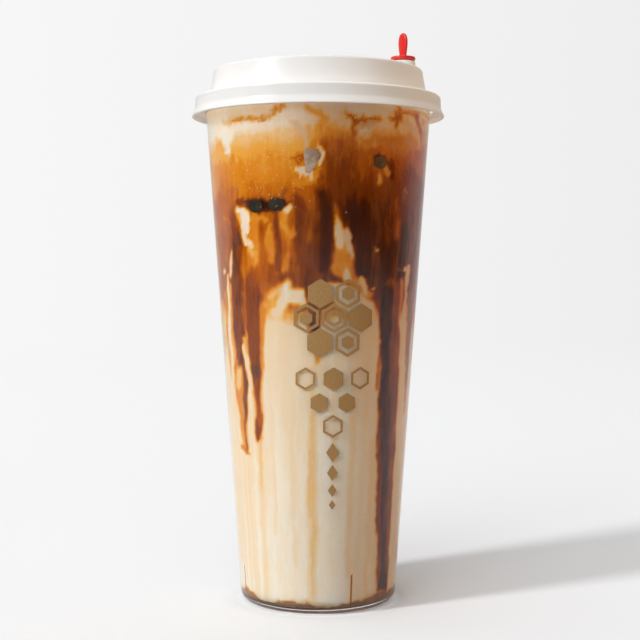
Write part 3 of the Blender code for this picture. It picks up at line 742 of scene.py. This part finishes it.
RIGHT_RUNS = [
    (0.50, 0.00, 1.6, [(-3.5, 118, 1.8), (-2.6, 106, 2.4), (-1.6, 98, 1.0), (-0.5, 93, 0.8)]),
    (0.78, 0.00, 1.2, [(-4.5, 120, 1.4), (-2.4, 110, 2.0), (-0.6, 103, 1.2)]),
    (0.70, 0.00, 1.7, [(45, 116, 6.6), (46, 108, 5.8), (47.6, 100, 5.6), (48.4, 80, 5.7), (49, 60, 5.6)]),
    (0.70, 0.02, 1.7, [(49, 62, 5.6), (50.2, 45, 5.2), (51.4, 30, 4.6), (53.3, 14, 3.8), (54.2, 4, 3.6)]),
    (0.92, 0.00, 2.8, [(41, 118, 3.0), (42, 104, 2.6), (43.6, 92, 2.4), (45, 78, 2.4)]),
    (0.86, 0.00, 3.0, [(45, 78, 2.4), (46.6, 62, 2.4), (48.6, 44, 2.2), (50.8, 28, 1.8), (54, 14, 1.6)]),
    (0.94, 0.04, 2.0, [(54.6, 12, 2.0), (54.6, 3, 3.2)]),
    (0.21, 0.00, 3.0, [(-3.2, 92, 0.6), (-3.4, 60, 1.3), (-3.4, 30, 1.4), (-3.6, 6, 0.8)]),
    (0.27, 0.00, 0.9, [(-5.4, 62, 0.3), (-5.2, 38, 0.2)]),
    (0.11, 0.00, 2.4, [(10.5, 100, 0.8), (10.5, 50, 0.6)]),
    (0.15, 0.00, 2.4, [(21.5, 74, 0.7), (21.5, 45, 0.9), (21, 16, 0.5)]),
    (0.12, 0.00, 2.6, [(36, 64, 0.9), (36, 6, 0.7)]),
    (0.52, 0.00, 0.9, [(38.8, 95, 0.8), (38.6, 89, 1.3), (38.9, 83, 1.1)]),
    (0.12, 0.10, 0.9, [(38.6, 102, 0.5), (39, 100.6, 0.4)]),
    (0.50, 0.00, 2.0, [(54.4, 123, 1.1), (54.8, 112, 1.2)]),
    (0.90, 0.30, 0.9, [(50.4, 128, 0.6), (52.8, 127.4, 0.7)]),
    (0.10, 0.10, 1.8, [(60, 118, 0.9), (60.2, 108, 1.8), (61.4, 96, 2.3)]),
    (0.06, 0.32, 1.0, [
        (57.2, 128, 1.2), (60.6, 128, 1.6), (59.6, 124.6, 1.5), (59.2, 118, 0.8), (59.4, 108, 1.0)]),
    (0.80, 0.42, 2.4, [
        (67.5, 116, 3.0), (68.2, 104, 2.6), (68.8, 92, 2.0), (69.6, 80, 1.0), (69.8, 73, 0.5)]),
    (0.16, 0.35, 9.0, [(78, 84, 3), (80, 20, 4)]),
    (0.85, 0.40, 1.0, [(52, 157.4, 0.5), (51.2, 152, 1.0)]),
    (0.12, 0.55, 0.7, [(52.8, 156, 0.4), (54.8, 155.6, 0.5)]),
    (0.10, 0.45, 0.6, [(32.4, 134.6, 0.4), (33.2, 134.0, 0.4)]),
]
print("lines of runs:", len(LEFT_RUNS + RIGHT_RUNS))

# %% [markdown]
# ## Under the lid and at the foot
# Foam drips into the tea under the lid, and thin brown smears cross the foam. At the foot the
# settled syrup colours the last few millimetres of milk, all the way round.

# %% Under the lid and at the foot
TOP = [
    (0.04, 0.00, 3.0, [(-84, 178.6, 2.8), (-62, 178, 2.9), (-50, 177.6, 2.5)]),
    (0.05, 0.03, 2.0, [(-48, 180, 0.9), (-30, 180, 0.9), (-14, 180.2, 0.8)]),
    (0.36, 0.00, 1.8, [(-60.5, 173.5, 0.8), (-57, 171.5, 0.6)]),
    (0.03, 0.00, 1.8, [(-56.4, 177, 2.2), (-53.4, 174.6, 2.0), (-52, 172.6, 1.3)]),
    (0.03, 0.00, 1.2, [(-54.8, 171.4, 0.9), (-51.5, 171, 0.8)]),
    (0.50, 0.05, 1.6, [(-49.4, 171, 0.5), (-49.6, 167.5, 0.8)]),
    (0.26, 0.16, 2.6, [
        (-56, 181.8, 0.3), (-46, 182, 0.9), (-34, 182.3, 0.8), (-26, 182.2, 0.8), (-16, 184, 0.6)]),
    (0.54, 0.30, 1.8, [
        (-48, 181.8, 0.2), (-43, 182.2, 0.6), (-38, 182, 0.2), (-33, 182.5, 0.6), (-27, 181.9, 0.5)]),
    (0.50, 0.30, 1.8, [(-25, 182.4, 0.3), (-21, 183.2, 0.5), (-16, 184.2, 0.3)]),
    (0.15, 0.42, 3.0, [(-12, 178, 1.0), (-7, 175.5, 1.6), (-6, 171, 0.8)]),
    (0.40, 0.12, 2.6, [(-4, 184.6, 1.0), (3, 181.4, 1.6), (0, 177, 1.4)]),
    (0.50, 0.22, 4.0, [(24, 174.5, 1.5), (36, 173.5, 1.5), (46, 174, 2)]),
    (0.34, 0.20, 3.0, [(13, 183.4, 0.8), (19, 181.2, 1.4), (25, 180.8, 1.3), (32, 181, 0.8)]),
    (0.74, 0.14, 1.8, [(15.4, 182.8, 0.5), (19, 181.3, 0.9), (24, 181, 0.6), (30.5, 181, 0.4)]),
    (0.68, 0.14, 1.8, [(18.4, 181, 0.8), (18.8, 178, 0.8), (18.9, 176.4, 0.4)]),
    (0.16, 0.60, 1.2, [(21.4, 179.4, 0.7), (25, 179.6, 0.8), (28.4, 179.4, 0.6)]),
    (0.34, 0.35, 0.9, [(28.3, 174, 0.5), (28.5, 172, 0.5)]),
    (0.10, 0.42, 2.0, [(47, 181.6, 1.0), (53, 180.4, 1.4), (59, 177.6, 1.0)]),
    (0.62, 0.24, 2.0, [(36.6, 181.2, 0.4), (41.5, 181.8, 1.3), (44, 183, 1.8)]),
    (0.66, 0.16, 1.8, [(43.4, 181, 0.9), (42.6, 179.2, 0.6)]),
    (0.50, 0.20, 2.0, [(44, 185.6, 0.9), (52, 185.2, 1.0), (60, 184, 1.2)]),
    (0.22, 0.66, 2.6, [(70, 178.6, 2.0), (84, 178.6, 2.4)]),
    (0.44, 0.45, 1.6, [(66, 182.8, 0.6), (80, 182.6, 0.8)]),
    (0.70, 0.22, 2.4, [(58.5, 183.6, 1.2), (61.5, 181.4, 1.5), (65, 179.4, 1.6)]),
    (0.70, 0.34, 1.8, [(65.6, 178, 0.9), (67.2, 172.8, 0.4)]),
]
FOOT = [
    (0.24, 0.35, 2.0, [
        (-90, 3.8, 1.4), (-50, 4.2, 1.4), (-20, 3.6, 0.9), (20, 3.6, 0.9), (56, 4.8, 1.7), (90, 4.4, 1.4)]),
    (0.84, 0.55, 0.5, [(-90, 3.2, 1.6), (-62, 3.6, 1.6), (-40, 3.4, 1.4), (-20, 3.0, 1.2), (-5, 2.6, 1.1)]),
    (0.84, 0.50, 0.5, [
        (-5, 2.6, 1.1), (20, 2.8, 1.2), (36, 3.2, 1.3), (50, 4.0, 1.9), (64, 4.2, 2.0), (90, 3.6, 1.8)]),
    (0.84, 0.55, 0.5, [(90, 3.4, 1.7), (180, 3.2, 1.5), (270, 3.2, 1.6)]),
]
print("lines at the two ends:", len(TOP + FOOT))

# %% [markdown]
# ## The unseen side
# The back follows the same rule by seeded chance: every few degrees a run of syrup slides down and
# a finger of milk rises beside it. The draw is the one that shaped the solid runs, so the painted
# runs and the solids agree. Cream patches and dark smears complete it from a second draw.

# %% The unseen side
def back_lines():
    draw = random.Random(7)
    extra = random.Random(11)
    lines = []
    for angle in range(92, 272, 9):
        spot = angle + extra.uniform(-4, 4)
        high = extra.uniform(122, 156)
        smear = [(spot, high, 1.5), (spot, high - 20, 3.0)]
        lines.append((extra.uniform(0.72, 0.95), 0.03, 7.0, smear))
        side = spot + extra.uniform(3, 7)
        amber = extra.uniform(126, 154)
        streak = [(side, amber, 0.6), (side + 1, amber - extra.uniform(4, 14), 1.5)]
        lines.append((extra.uniform(0.4, 0.56), 0.0, 2.8, streak))
    angle = 86.0
    while angle < 272.0:
        reach = draw.uniform(3.0, 6.5)
        right = reach * draw.uniform(0.7, 1.1)
        tip = draw.uniform(30.0, 98.0)
        centre = angle + reach
        width = 0.33 * (reach + right)
        fringe = [(centre, 104, width), (centre, 96, width * 0.8), (centre, tip, width * 0.35)]
        lines.append((0.46, 0.0, 2.4, fringe))
        tone = extra.uniform(0.68, 0.84)
        source = [(centre, extra.uniform(118, 128), width * 0.7), (centre, 108, width * 0.7)]
        lines.append((tone, 0.02, 5.0, source))
        core = [(centre, 110, width * 0.7), (centre, 96, width * 0.5), (centre, tip + 8, width * 0.15)]
        lines.append((tone, 0.04, 1.6, core))
        lines.append((0.13, 0.0, 3.0, [(centre, tip, 1.2), (centre, 6, 1.0)]))
        angle += 2 * reach + draw.uniform(1.0, 5.0)
        slim = draw.uniform(2.2, 4.0)
        high = draw.uniform(112.0, 138.0)
        middle = angle + slim
        finger = [(middle, high, 0.4), (middle, high - 8, slim * 0.35), (middle, 104, slim * 0.5)]
        lines += [(0.30, 0.0, 2.6, finger), (0.07, 0.05, 1.2, finger)]
        angle += 2 * slim + draw.uniform(1.0, 4.0)
    for _ in range(9):
        spot = extra.uniform(95, 265)
        high = extra.uniform(140, 172)
        lean = extra.uniform(-4, 4)
        lines.append((0.34, 0.0, 3.0, [(spot, high + 1, 1.4), (spot + lean, high - 6, 1.6)]))
        lines.append((0.07, 0.1, 1.4, [(spot, high, 0.8), (spot + lean * 0.6, high - 3, 1.3)]))
    return lines


BACK = back_lines()
print("lines on the back:", len(BACK))

# %% [markdown]
# ## Laying on the paint
# The lines are laid on in order, on points that noise has pushed a little aside, so that no edge is
# straight. Fine upright streaks follow, because syrup slides down. A rib of the cup darkens the
# drink behind it in a thin line, so the one column of points beside each rib is simply painted dark,
# as painted shade. The two points in the middle of the ends never show, and take a value between.

# %% Laying on the paint
LINES = WASHES + AMBER + MILK + LEFT_RUNS + RIGHT_RUNS + TOP + FOOT + BACK
# The ribs' painted shade: a dark tone with a little veil
RIB_SHADE_TONE = 0.86
RIB_SHADE_VEIL = 0.3
FAN_VALUE = 0.3


def rib_shade_column(angle, height):
    """True on the one column of points along a rib, where the rib's painted shade goes."""
    return (angle % 90.0 == math.floor(RIB_ANGLE)) & (height < RIB_TOP)


def wobble(points, scale, seed):
    """Smooth noise at points in metres, about -0.5 to 0.5."""
    shift = Vector((seed * 3.1, seed * 1.7, seed * 0.9))
    return np.array([noise.noise(Vector(p) * scale + shift) for p in points.reshape(-1, 3).tolist()])


def background(angle, height, lifted, rise, sway, upright):
    """Tone and veil of the wall before any line is drawn."""
    turn = (angle + 180.0) % 360.0 - 180.0
    shade = np.interp(turn, SHADE_ANGLES, SHADE_SHARES)
    upper = np.clip((height - 164.0) / 8.0, 0.0, 1.0)
    level = lifted + (FOAM_EDGE - foam_edge(ANGLES)) * upper
    bright, shaded = np.interp(level, LEVELS, BRIGHT), np.interp(level, LEVELS, SHADED)
    tone = bright + (shaded - bright) * shade
    tone += (0.10 * rise + 0.06 * sway) * np.clip((tone - 0.2) / 0.2, 0.0, 1.0) + 0.03 * upright
    return tone, np.interp(level, LEVELS, VEILED) * (0.4 + 0.8 * shade)


def paint(mesh, points, angle, height):
    """Writes tone and veil on a mesh whose first vertices are these wall points."""
    def drift(scale, seed, upright=1.0):
        return wobble(points * np.array([1.0, 1.0, upright]), scale, seed).reshape(angle.shape)

    sway, ripple, rise = drift(110.0, 1.0), drift(420.0, 2.0), drift(90.0, 3.0)
    fray = drift(620.0, 7.0) * np.clip((height - 120.0) / 40.0, 0.0, 1.0)
    bent = angle + 1.5 * sway + 0.7 * ripple + 1.1 * fray
    lifted = height + 2.2 * rise + 0.8 * ripple - 1.2 * fray
    tone, veil = background(bent, height, lifted, rise, sway, drift(260.0, 6.0, 0.04))
    for line_tone, line_veil, soft, line in LINES:
        mask = line_mask(bent, lifted, line, soft)
        tone += (line_tone - tone) * mask
        veil += (line_veil - veil) * mask
    streaks = drift(520.0, 4.0, 0.2) + 0.6 * drift(1100.0, 5.0, 0.2)
    brown = np.clip((tone - 0.2) / 0.25, 0.0, 1.0)
    tone += 0.08 * streaks * brown * np.clip((165.0 - height) / 30.0, 0.2, 1.0)
    # Painted shade of the ribs: one dark column beside each
    tone[rib_shade_column(angle, height)] = RIB_SHADE_TONE
    veil[rib_shade_column(angle, height)] = RIB_SHADE_VEIL
    for name, values in (("tone", tone), ("veil", veil)):
        full = np.full(len(mesh.vertices), FAN_VALUE)
        full[:values.size] = np.clip(values, 0.0, 1.0).ravel()
        mesh.attributes.new(name, "FLOAT", "POINT").data.foreach_set("value", full)


print("lines in all:", len(LINES))

# %% [markdown]
# ## The drink
# Two liquid pieces fill the cup: the settled syrup on the floor, and the milk tea up to the top of
# its foam. Milk, tea and foam are one mesh, because light wanders freely from one to the other and
# a seam would show as a dark line. The mesh is dense, under a millimetre a cell, to hold the paint.

# %% The drink
def liquid_piece(name, low, high, rows, material):
    """A closed layer of liquid between two wavy edges, dense at the wall and painted there."""
    share = np.linspace(0.0, 1.0, rows)[:, None]
    height = low[None, :] + (high - low)[None, :] * share
    inner = np.array([0.2, 0.55, 0.9])[:, None]
    foot = low.mean() + (low - low.mean()) * inner
    head = (high.mean() + (high - high.mean()) * inner)[::-1]
    heights = np.concatenate([foot, height, head])
    radii = [drink_radius(low) * inner, drink_radius(height), drink_radius(high) * inner[::-1]]
    angles = np.broadcast_to(ANGLES, heights.shape)
    rings = place(angles, np.concatenate(radii), heights)
    mesh = ring_mesh(name, rings, sharp=80.0)
    paint(mesh, rings, angles, heights)
    return new_object(name, mesh, material)


floor_level = np.full(ANGLES.size, FLOOR_TOP - INTO_WALL)
syrup_top = syrup_edge(ANGLES)
drink_top = DRINK_TOP + waves(ANGLES, [(0.35, 3, 0.5)])
drink = liquid_piece("milk_tea", syrup_top, drink_top, 212, DRINK)
dress(drink, "milk_tea", "milk", "tea", "foam")
settled = liquid_piece("bottom_syrup", floor_level, syrup_top, 6, SYRUP)
dress(settled, "syrup", "settled_syrup")

# %% [markdown]
# ## Pearls
# Tapioca pearls are soft balls about 8 mm across. Where the wall stops one it goes flat, and that
# flat spot is all that shows. Each is a ball with gentle bumps that sags a little, and whatever
# would pass through the plastic is moved back to its face.

# %% Pearls
PEARL_RADIUS = 4.0
PROUD = 0.06
PRESS_BUMPS = 0.07


def press_on_wall(mesh):
    """Moves what would pass through the plastic back onto a cone just inside its face."""
    for vert in mesh.vertices:
        reach = math.hypot(vert.co.x, vert.co.y)
        lift = PROUD + PRESS_BUMPS * noise.noise(vert.co * 300.0)
        limit = (inner_radius(vert.co.z / MM) + INTO_WALL + lift) * MM
        if reach > limit:
            vert.co.x *= limit / reach
            vert.co.y *= limit / reach


def pearl_mesh(number, angle, height, sunk, squat):
    """A soft ball whose centre lies `sunk` inside the wall's face, and which sags to `squat`."""
    work = bmesh.new()
    bmesh.ops.create_icosphere(work, subdivisions=5, radius=PEARL_RADIUS * MM)
    mesh = bpy.data.meshes.new(f"pearl_{number}")
    for vert in work.verts:
        vert.co *= 1.0 + 0.07 * noise.noise(vert.co * 260.0 + Vector((number, 0.0, 0.0)))
        vert.co.z *= squat
    work.to_mesh(mesh)
    work.free()
    centre = place(angle, inner_radius(height) - sunk, height)
    mesh.transform(Matrix.Translation(centre))
    press_on_wall(mesh)
    return finish_mesh(mesh, 80.0)


PEARLS = [
    (-34.4, 150.6, 2.2, 0.78, PEARL),
    (-22.2, 151.0, 2.3, 0.80, PEARL),
    (33.0, 166.2, 2.8, 0.90, BROWN_PEARL),
]
for number, (*shape, finish) in enumerate(PEARLS, 1):
    pearl = new_object(f"boba_{number}", pearl_mesh(number, *shape), finish)
    dress(pearl, "tapioca", f"pearl_{number}")

# %% [markdown]
# ## Ice
# The ice is a small cube with worn edges that leans on the wall, so only one edge shows, pressed
# flat. It is a bevelled cube with slow bumps, moved until its foremost corner is at the wall.

# %% Ice
ICE_EDGE = 13.0
ICE_AT = (-2.2, 168.0)


def ice_mesh():
    work = bmesh.new()
    bmesh.ops.create_cube(work, size=ICE_EDGE * MM)
    bmesh.ops.bevel(work, geom=work.edges[:], offset=2.2 * MM, segments=5, profile=0.5, affect="EDGES")
    bmesh.ops.subdivide_edges(work, edges=work.edges[:], cuts=6, use_grid_fill=True)
    mesh = bpy.data.meshes.new("ice_cube")
    for vert in work.verts:
        vert.co *= 1.0 + 0.03 * noise.noise(vert.co * 200.0)
    work.to_mesh(mesh)
    work.free()
    lean = Matrix.Rotation(math.radians(16.0), 4, "Y") @ Matrix.Rotation(math.radians(20.0), 4, "X")
    mesh.transform(lean @ Matrix.Rotation(math.radians(52.0), 4, "Z"))
    corner = min((vert.co for vert in mesh.vertices), key=lambda spot: spot.y).copy()
    angle, height = ICE_AT
    wanted = Vector(place(angle, inner_radius(height) + 2.3, height))
    mesh.transform(Matrix.Translation(wanted - corner))
    press_on_wall(mesh)
    return finish_mesh(mesh, 60.0)


dress(new_object("ice_cube", ice_mesh(), ICE), "ice", "ice")

# %% [markdown]
# ## Bubbles
# Shaking leaves tiny bubbles in the foam and against the wall. They are small, many and all alike,
# so Geometry Nodes scatter them over a hidden band of the wall, with density, size and seed as
# named inputs, and the result is kept as plain mesh.

# %% Bubbles
BUBBLE_INPUTS = {
    "Geometry": "Geometry",
    "Density": "Float",
    "Smallest": "Float",
    "Largest": "Float",
    "Seed": "Int",
    "Material": "Material",
}


def bubble_tree():
    tree = bpy.data.node_groups.new("bubble_scatter", "GeometryNodeTree")
    face = tree.interface
    for label, kind in BUBBLE_INPUTS.items():
        face.new_socket(label, in_out="INPUT", socket_type="NodeSocket" + kind)
    face.new_socket("Geometry", in_out="OUTPUT", socket_type="NodeSocketGeometry")
    given = node(tree, "NodeGroupInput").outputs
    wanted = {"Mesh": given["Geometry"], "Density": given["Density"], "Seed": given["Seed"]}
    spots = node(tree, "GeometryNodeDistributePointsOnFaces", wanted)
    wanted = {2: given["Smallest"], 3: given["Largest"], "Seed": given["Seed"]}
    size = node(tree, "FunctionNodeRandomValue", wanted, data_type="FLOAT")
    ball = node(tree, "GeometryNodeMeshIcoSphere", {"Radius": 1.0, "Subdivisions": 2})
    wanted = {"Points": spots.outputs["Points"], "Instance": ball.outputs["Mesh"], "Scale": size.outputs[1]}
    copies = node(tree, "GeometryNodeInstanceOnPoints", wanted)
    real = node(tree, "GeometryNodeRealizeInstances", {"Geometry": copies.outputs[0]})
    smooth = node(tree, "GeometryNodeSetShadeSmooth", {"Geometry": real.outputs[0]})
    wanted = {"Geometry": smooth.outputs[0], "Material": given["Material"]}
    dressed = node(tree, "GeometryNodeSetMaterial", wanted)
    node(tree, "NodeGroupOutput", {"Geometry": dressed.outputs[0]})
    return tree


def wall_band(name, span, heights):
    """A strip of faces just under the drink's surface, between two angles and two heights."""
    angle = np.linspace(*span, 60)
    height = np.linspace(*heights, 12)[:, None]
    points = place(angle[None, :], inner_radius(height) + INTO_WALL - 0.05, height).reshape(-1, 3)
    index = np.arange(len(points)).reshape(12, 60)
    quads = np.stack([index[:-1, :-1], index[:-1, 1:], index[1:, 1:], index[1:, :-1]], axis=-1)
    mesh = bpy.data.meshes.new(name)
    mesh.from_pydata(points, [], quads.reshape(-1, 4).tolist())
    return mesh


def bubbles(name, span, heights, density, sizes, seed):
    host = new_object(name + "_band", wall_band(name, span, heights))
    step = host.modifiers.new("scatter", "NODES")
    step.node_group = BUBBLE_TREE
    values = {"Density": density, "Smallest": sizes[0] * MM, "Largest": sizes[1] * MM, "Seed": seed}
    values["Material"] = BUBBLE
    for item in BUBBLE_TREE.interface.items_tree:
        if item.in_out == "INPUT" and item.name in values:
            step[item.identifier] = values[item.name]
    seen = host.evaluated_get(bpy.context.evaluated_depsgraph_get())
    made = bpy.data.meshes.new_from_object(seen)
    bpy.data.objects.remove(host)
    dress(new_object(name, made), "milk_foam")


BUBBLE_TREE = bubble_tree()
bubbles("foam_bubbles", (0.0, 360.0), (178.5, 184.0), 22000.0, (0.12, 0.34), 3)
bubbles("wall_bubbles", (-50.0, -4.0), (148.0, 174.0), 150000.0, (0.05, 0.18), 5)
bubbles("stray_bubbles", (0.0, 360.0), (116.0, 176.0), 1500.0, (0.08, 0.26), 8)

# %% [markdown]
# ## Print
# Such cups carry a screen print in matt gold-brown ink. Here it is a plain honeycomb: a rosette of
# seven cells that thins out downwards into single cells and small lozenges. Each shape is a thin
# skin wrapped on the cone, cut fine enough to follow its curve.

# %% Print
PRINT_CENTRE = 9.0
ROSETTE_HEIGHT = 110.0
PITCH = 10.2
CELL = 5.3
FILLED, OPEN = 0.02, 0.78
LOWER_CELLS = [
    (-10.2, 88.0, 4.2, 0.76),
    (0.0, 88.0, 4.2, FILLED),
    (10.2, 88.0, 4.2, 0.76),
    (-5.1, 79.2, 3.6, FILLED),
    (5.1, 79.2, 3.6, FILLED),
    (0.0, 70.6, 4.2, 0.76),
]
LOZENGES = [(61.0, 2.4), (53.5, 2.0), (47.0, 1.6), (41.6, 1.2)]


def cell_rings(size, hollow, corners=6, tall=1.0):
    """Rings of a regular cell from its outline inwards, each with points along its sides."""
    turns = np.linspace(0.0, 2 * math.pi, corners, endpoint=False) + math.pi / 2
    corner = np.stack([np.cos(turns), np.sin(turns) * tall], axis=-1)
    share = np.linspace(0.0, 1.0, 8, endpoint=False)[:, None]
    side = [corner[k] * (1 - share) + corner[(k + 1) % corners] * share for k in range(corners)]
    outline = np.concatenate(side) * size
    return [outline * scale for scale in np.linspace(1.0, hollow, 7)]


def wrapped(shapes):
    """Wraps flat rings (centre across, centre height, rings) on the outside of the wall."""
    points, faces = [], []
    for across, height, rings in shapes:
        start = len(points)
        around = len(rings[0])
        for ring in rings:
            high = height + ring[:, 1]
            angle = PRINT_CENTRE + np.degrees((across + ring[:, 0]) / outer_radius(high))
            points += place(angle, outer_radius(high) + 0.03, high).tolist()
        for row in range(len(rings) - 1):
            for k in range(around):
                a = start + row * around + k
                b = start + row * around + (k + 1) % around
                faces.append((a, b, b + around, a + around))
    mesh = bpy.data.meshes.new("printed_cells")
    mesh.from_pydata(points, [], faces)
    return mesh


def print_shapes():
    """Every shape as (centre across, centre height, rings)."""
    shapes = []
    for k in range(6):
        turn = math.radians(60.0 * k)
        across, high = PITCH * math.cos(turn), ROSETTE_HEIGHT + PITCH * math.sin(turn)
        shapes.append((across, high, cell_rings(CELL, OPEN if k % 2 else FILLED)))
        if k % 2:
            shapes.append((across, high, cell_rings(2.6, FILLED)))
    shapes.append((0.0, ROSETTE_HEIGHT, cell_rings(CELL, OPEN)))
    shapes.append((0.0, ROSETTE_HEIGHT, cell_rings(3.2, 0.6)))
    shapes += [(across, high, cell_rings(size, hollow)) for across, high, size, hollow in LOWER_CELLS]
    return shapes + [(0.0, high, cell_rings(size, FILLED, 4, 1.5)) for high, size in LOZENGES]


printed = new_object("printed_cells", finish_mesh(wrapped(print_shapes()), 80.0), INK)
dress(printed, None)

# %% [markdown]
# ## Table
# The cup stands on a pale table that runs on into the room, so no horizon shows. The floor fades
# out with distance: to nothing for light, and to the room's own grey for the camera. A clear foot
# gathers light under its edge, and a faint glow there that ends just outside it stands for that.

# %% Table
FLOOR_HALF = 2.0
FLOOR_DROP = 0.0002
GATHER_IN, GATHER_OUT = 0.0290, 0.0325


def pale_table():
    material, tree, shader = new_material("pale_table")
    where = node(tree, "ShaderNodeTexCoord").outputs["Object"]
    across = node(tree, "ShaderNodeSeparateXYZ", {0: where}).outputs["X"]
    ray = node(tree, "ShaderNodeLightPath").outputs
    # Painted light: the table's colour is paler at the left, where the room is brighter
    bright = mapped(tree, across, 0.905, 0.855, -0.3, 0.3)
    level = maths(tree, "MULTIPLY", bright, mapped(tree, ray["Diffuse Depth"], 1.0, 0.24, 0.0, 1.0))
    grey = node(tree, "ShaderNodeCombineColor", {k: level for k in range(3)}).outputs[0]
    feed(tree, shader, {
        # A faint blue in the table's colour is painted light that evens out the warm fill
        "Base Color": blend(tree, 1.0, grey, (0.995, 1.012, 1.035, 1.0), "MULTIPLY"),
        "Roughness": 0.9,
        "Specular IOR Level": 0.0,
    })
    far = node(tree, "ShaderNodeVectorMath", {0: where}, operation="LENGTH").outputs["Value"]
    gathered = mapped(tree, far, 0.20, 0.0, GATHER_IN, GATHER_OUT)
    lit = node(tree, "ShaderNodeEmission", {"Color": (0.94, 1.0, 1.04, 1.0), "Strength": gathered})
    near = node(tree, "ShaderNodeAddShader", {0: shader.outputs[0], 1: lit.outputs[0]})
    clear = node(tree, "ShaderNodeBsdfTransparent")
    glow = node(tree, "ShaderNodeEmission", {"Color": mapped(tree, across, 0.94, 0.85, -0.72, 0.72)})
    beyond = mixed(tree, ray["Is Camera Ray"], clear, glow)
    show(tree, mixed(tree, mapped(tree, far, 0.0, 1.0, 0.3, 1.7, "SMOOTHSTEP"), near, beyond))
    return material


def fading_floor():
    mesh = bpy.data.meshes.new("floor")
    corners = [(x * FLOOR_HALF, y * FLOOR_HALF, 0.0) for x, y in ((-1, -1), (1, -1), (1, 1), (-1, 1))]
    mesh.from_pydata(corners, [], [(0, 1, 2, 3)])
    floor = new_object("floor", mesh, pale_table())
    floor.location.z = -FLOOR_DROP


fading_floor()
print("floor:", 2 * FLOOR_HALF, "m wide")

# %% [markdown]
# ## Room
# A white room lights the drink from the front and above, and is dark at the right, which shades
# that side. What the camera sees behind the cup, what the plastic mirrors and what lights the
# drink are three separate mixes, so that each can be set by eye.

# %% Room
def grey(level):
    return (level, level, level, 1.0)


def toward(tree, where, direction, far, near):
    """0 to 1 as a ray turns towards a direction, between two cosines."""
    inputs = {0: where, 1: Vector(direction).normalized()}
    lean = node(tree, "ShaderNodeVectorMath", inputs, operation="DOT_PRODUCT").outputs["Value"]
    return mapped(tree, lean, 0.0, 1.0, far, near, "SMOOTHSTEP")


def room():
    world = bpy.data.worlds.new("white_room")
    bpy.context.scene.world = world
    world.use_nodes = True
    world.cycles.sampling_method = "NONE"
    tree = world.node_tree
    ray = node(tree, "ShaderNodeLightPath").outputs
    where = node(tree, "ShaderNodeTexCoord").outputs["Generated"]
    parts = node(tree, "ShaderNodeSeparateXYZ", {0: where}).outputs
    front = toward(tree, where, (0.10, -1.0, 0.15), 0.3, 0.9)
    shade = toward(tree, where, (0.85, -0.50, 0.0), -0.1, 0.7)
    up = toward(tree, where, (0.0, 0.0, 1.0), 0.5, 0.95)
    bright = blend(tree, front, blend(tree, up, grey(0.05), grey(1.4)), grey(2.7))
    above = mapped(tree, parts["Z"], 0.0, 1.0, -0.05, 0.05)
    ambient = blend(tree, above, grey(0.2), blend(tree, shade, bright, grey(0.06)))
    dark = toward(tree, where, (0.0, -1.0, 0.0), -0.55, 0.0)
    mirrored = blend(tree, dark, grey(0.6), grey(0.0))
    backdrop = mapped(tree, parts["X"], 0.94, 0.85, -0.3, 0.3)
    straight = maths(tree, "LESS_THAN", ray["Diffuse Depth"], 0.5)
    glossy = maths(tree, "MULTIPLY", ray["Is Glossy Ray"], straight)
    through = (ray["Is Transmission Ray"], straight, ray["Is Camera Ray"])
    direct = maths(tree, "MULTIPLY_ADD", *through, clamp=True)
    seen = blend(tree, direct, blend(tree, glossy, ambient, mirrored), backdrop)
    tree.links.new(seen, tree.nodes["Background"].inputs["Color"])


room()
print("world:", bpy.context.scene.world.name)

# %% [markdown]
# ## Lamps and camera
# One soft lamp at the left models the cup and throws its shadow to the right, and a warm fill from
# the right browns that side of the lid. The camera stands half a metre away with a short telephoto
# lens, a little above the middle.

# %% Lamps and camera
SENSOR = 36.0
LENS = 72.28
CAMERA_AT = (0.00073, -0.4985, 0.1265)
CAMERA_DIP = 2.13


def sun(name, angle, elevation, width, strength, colour):
    """A lamp far away, at an angle from the front and an elevation, both in degrees."""
    data = bpy.data.lights.new(name, "SUN")
    data.angle = math.radians(width)
    data.energy = strength
    data.color = colour
    thing = new_object(name, data)
    turn, rise = math.radians(angle), math.radians(elevation)
    away = Vector((math.sin(turn) * math.cos(rise), -math.cos(turn) * math.cos(rise), math.sin(rise)))
    thing.location = away
    thing.rotation_euler = away.to_track_quat("Z", "Y").to_euler()
    return thing


def camera():
    data = bpy.data.cameras.new("camera")
    data.sensor_width = SENSOR
    data.lens = LENS
    data.clip_start = 0.01
    thing = new_object("camera", data)
    thing.location = CAMERA_AT
    thing.rotation_euler = (math.radians(90.0 - CAMERA_DIP), 0.0, 0.0)
    bpy.context.scene.camera = thing


sun("key", angle=-60.0, elevation=35.0, width=8.0, strength=1.67, colour=(1.0, 1.0, 1.0))
fill = sun("warm_fill", angle=85.0, elevation=0.0, width=50.0, strength=1.22, colour=(1.0, 0.57, 0.18))
fill.visible_glossy = False
camera()
bpy.context.scene.view_settings.view_transform = "Standard"
print("camera:", round(Vector(CAMERA_AT).length, 3), "m from the foot")
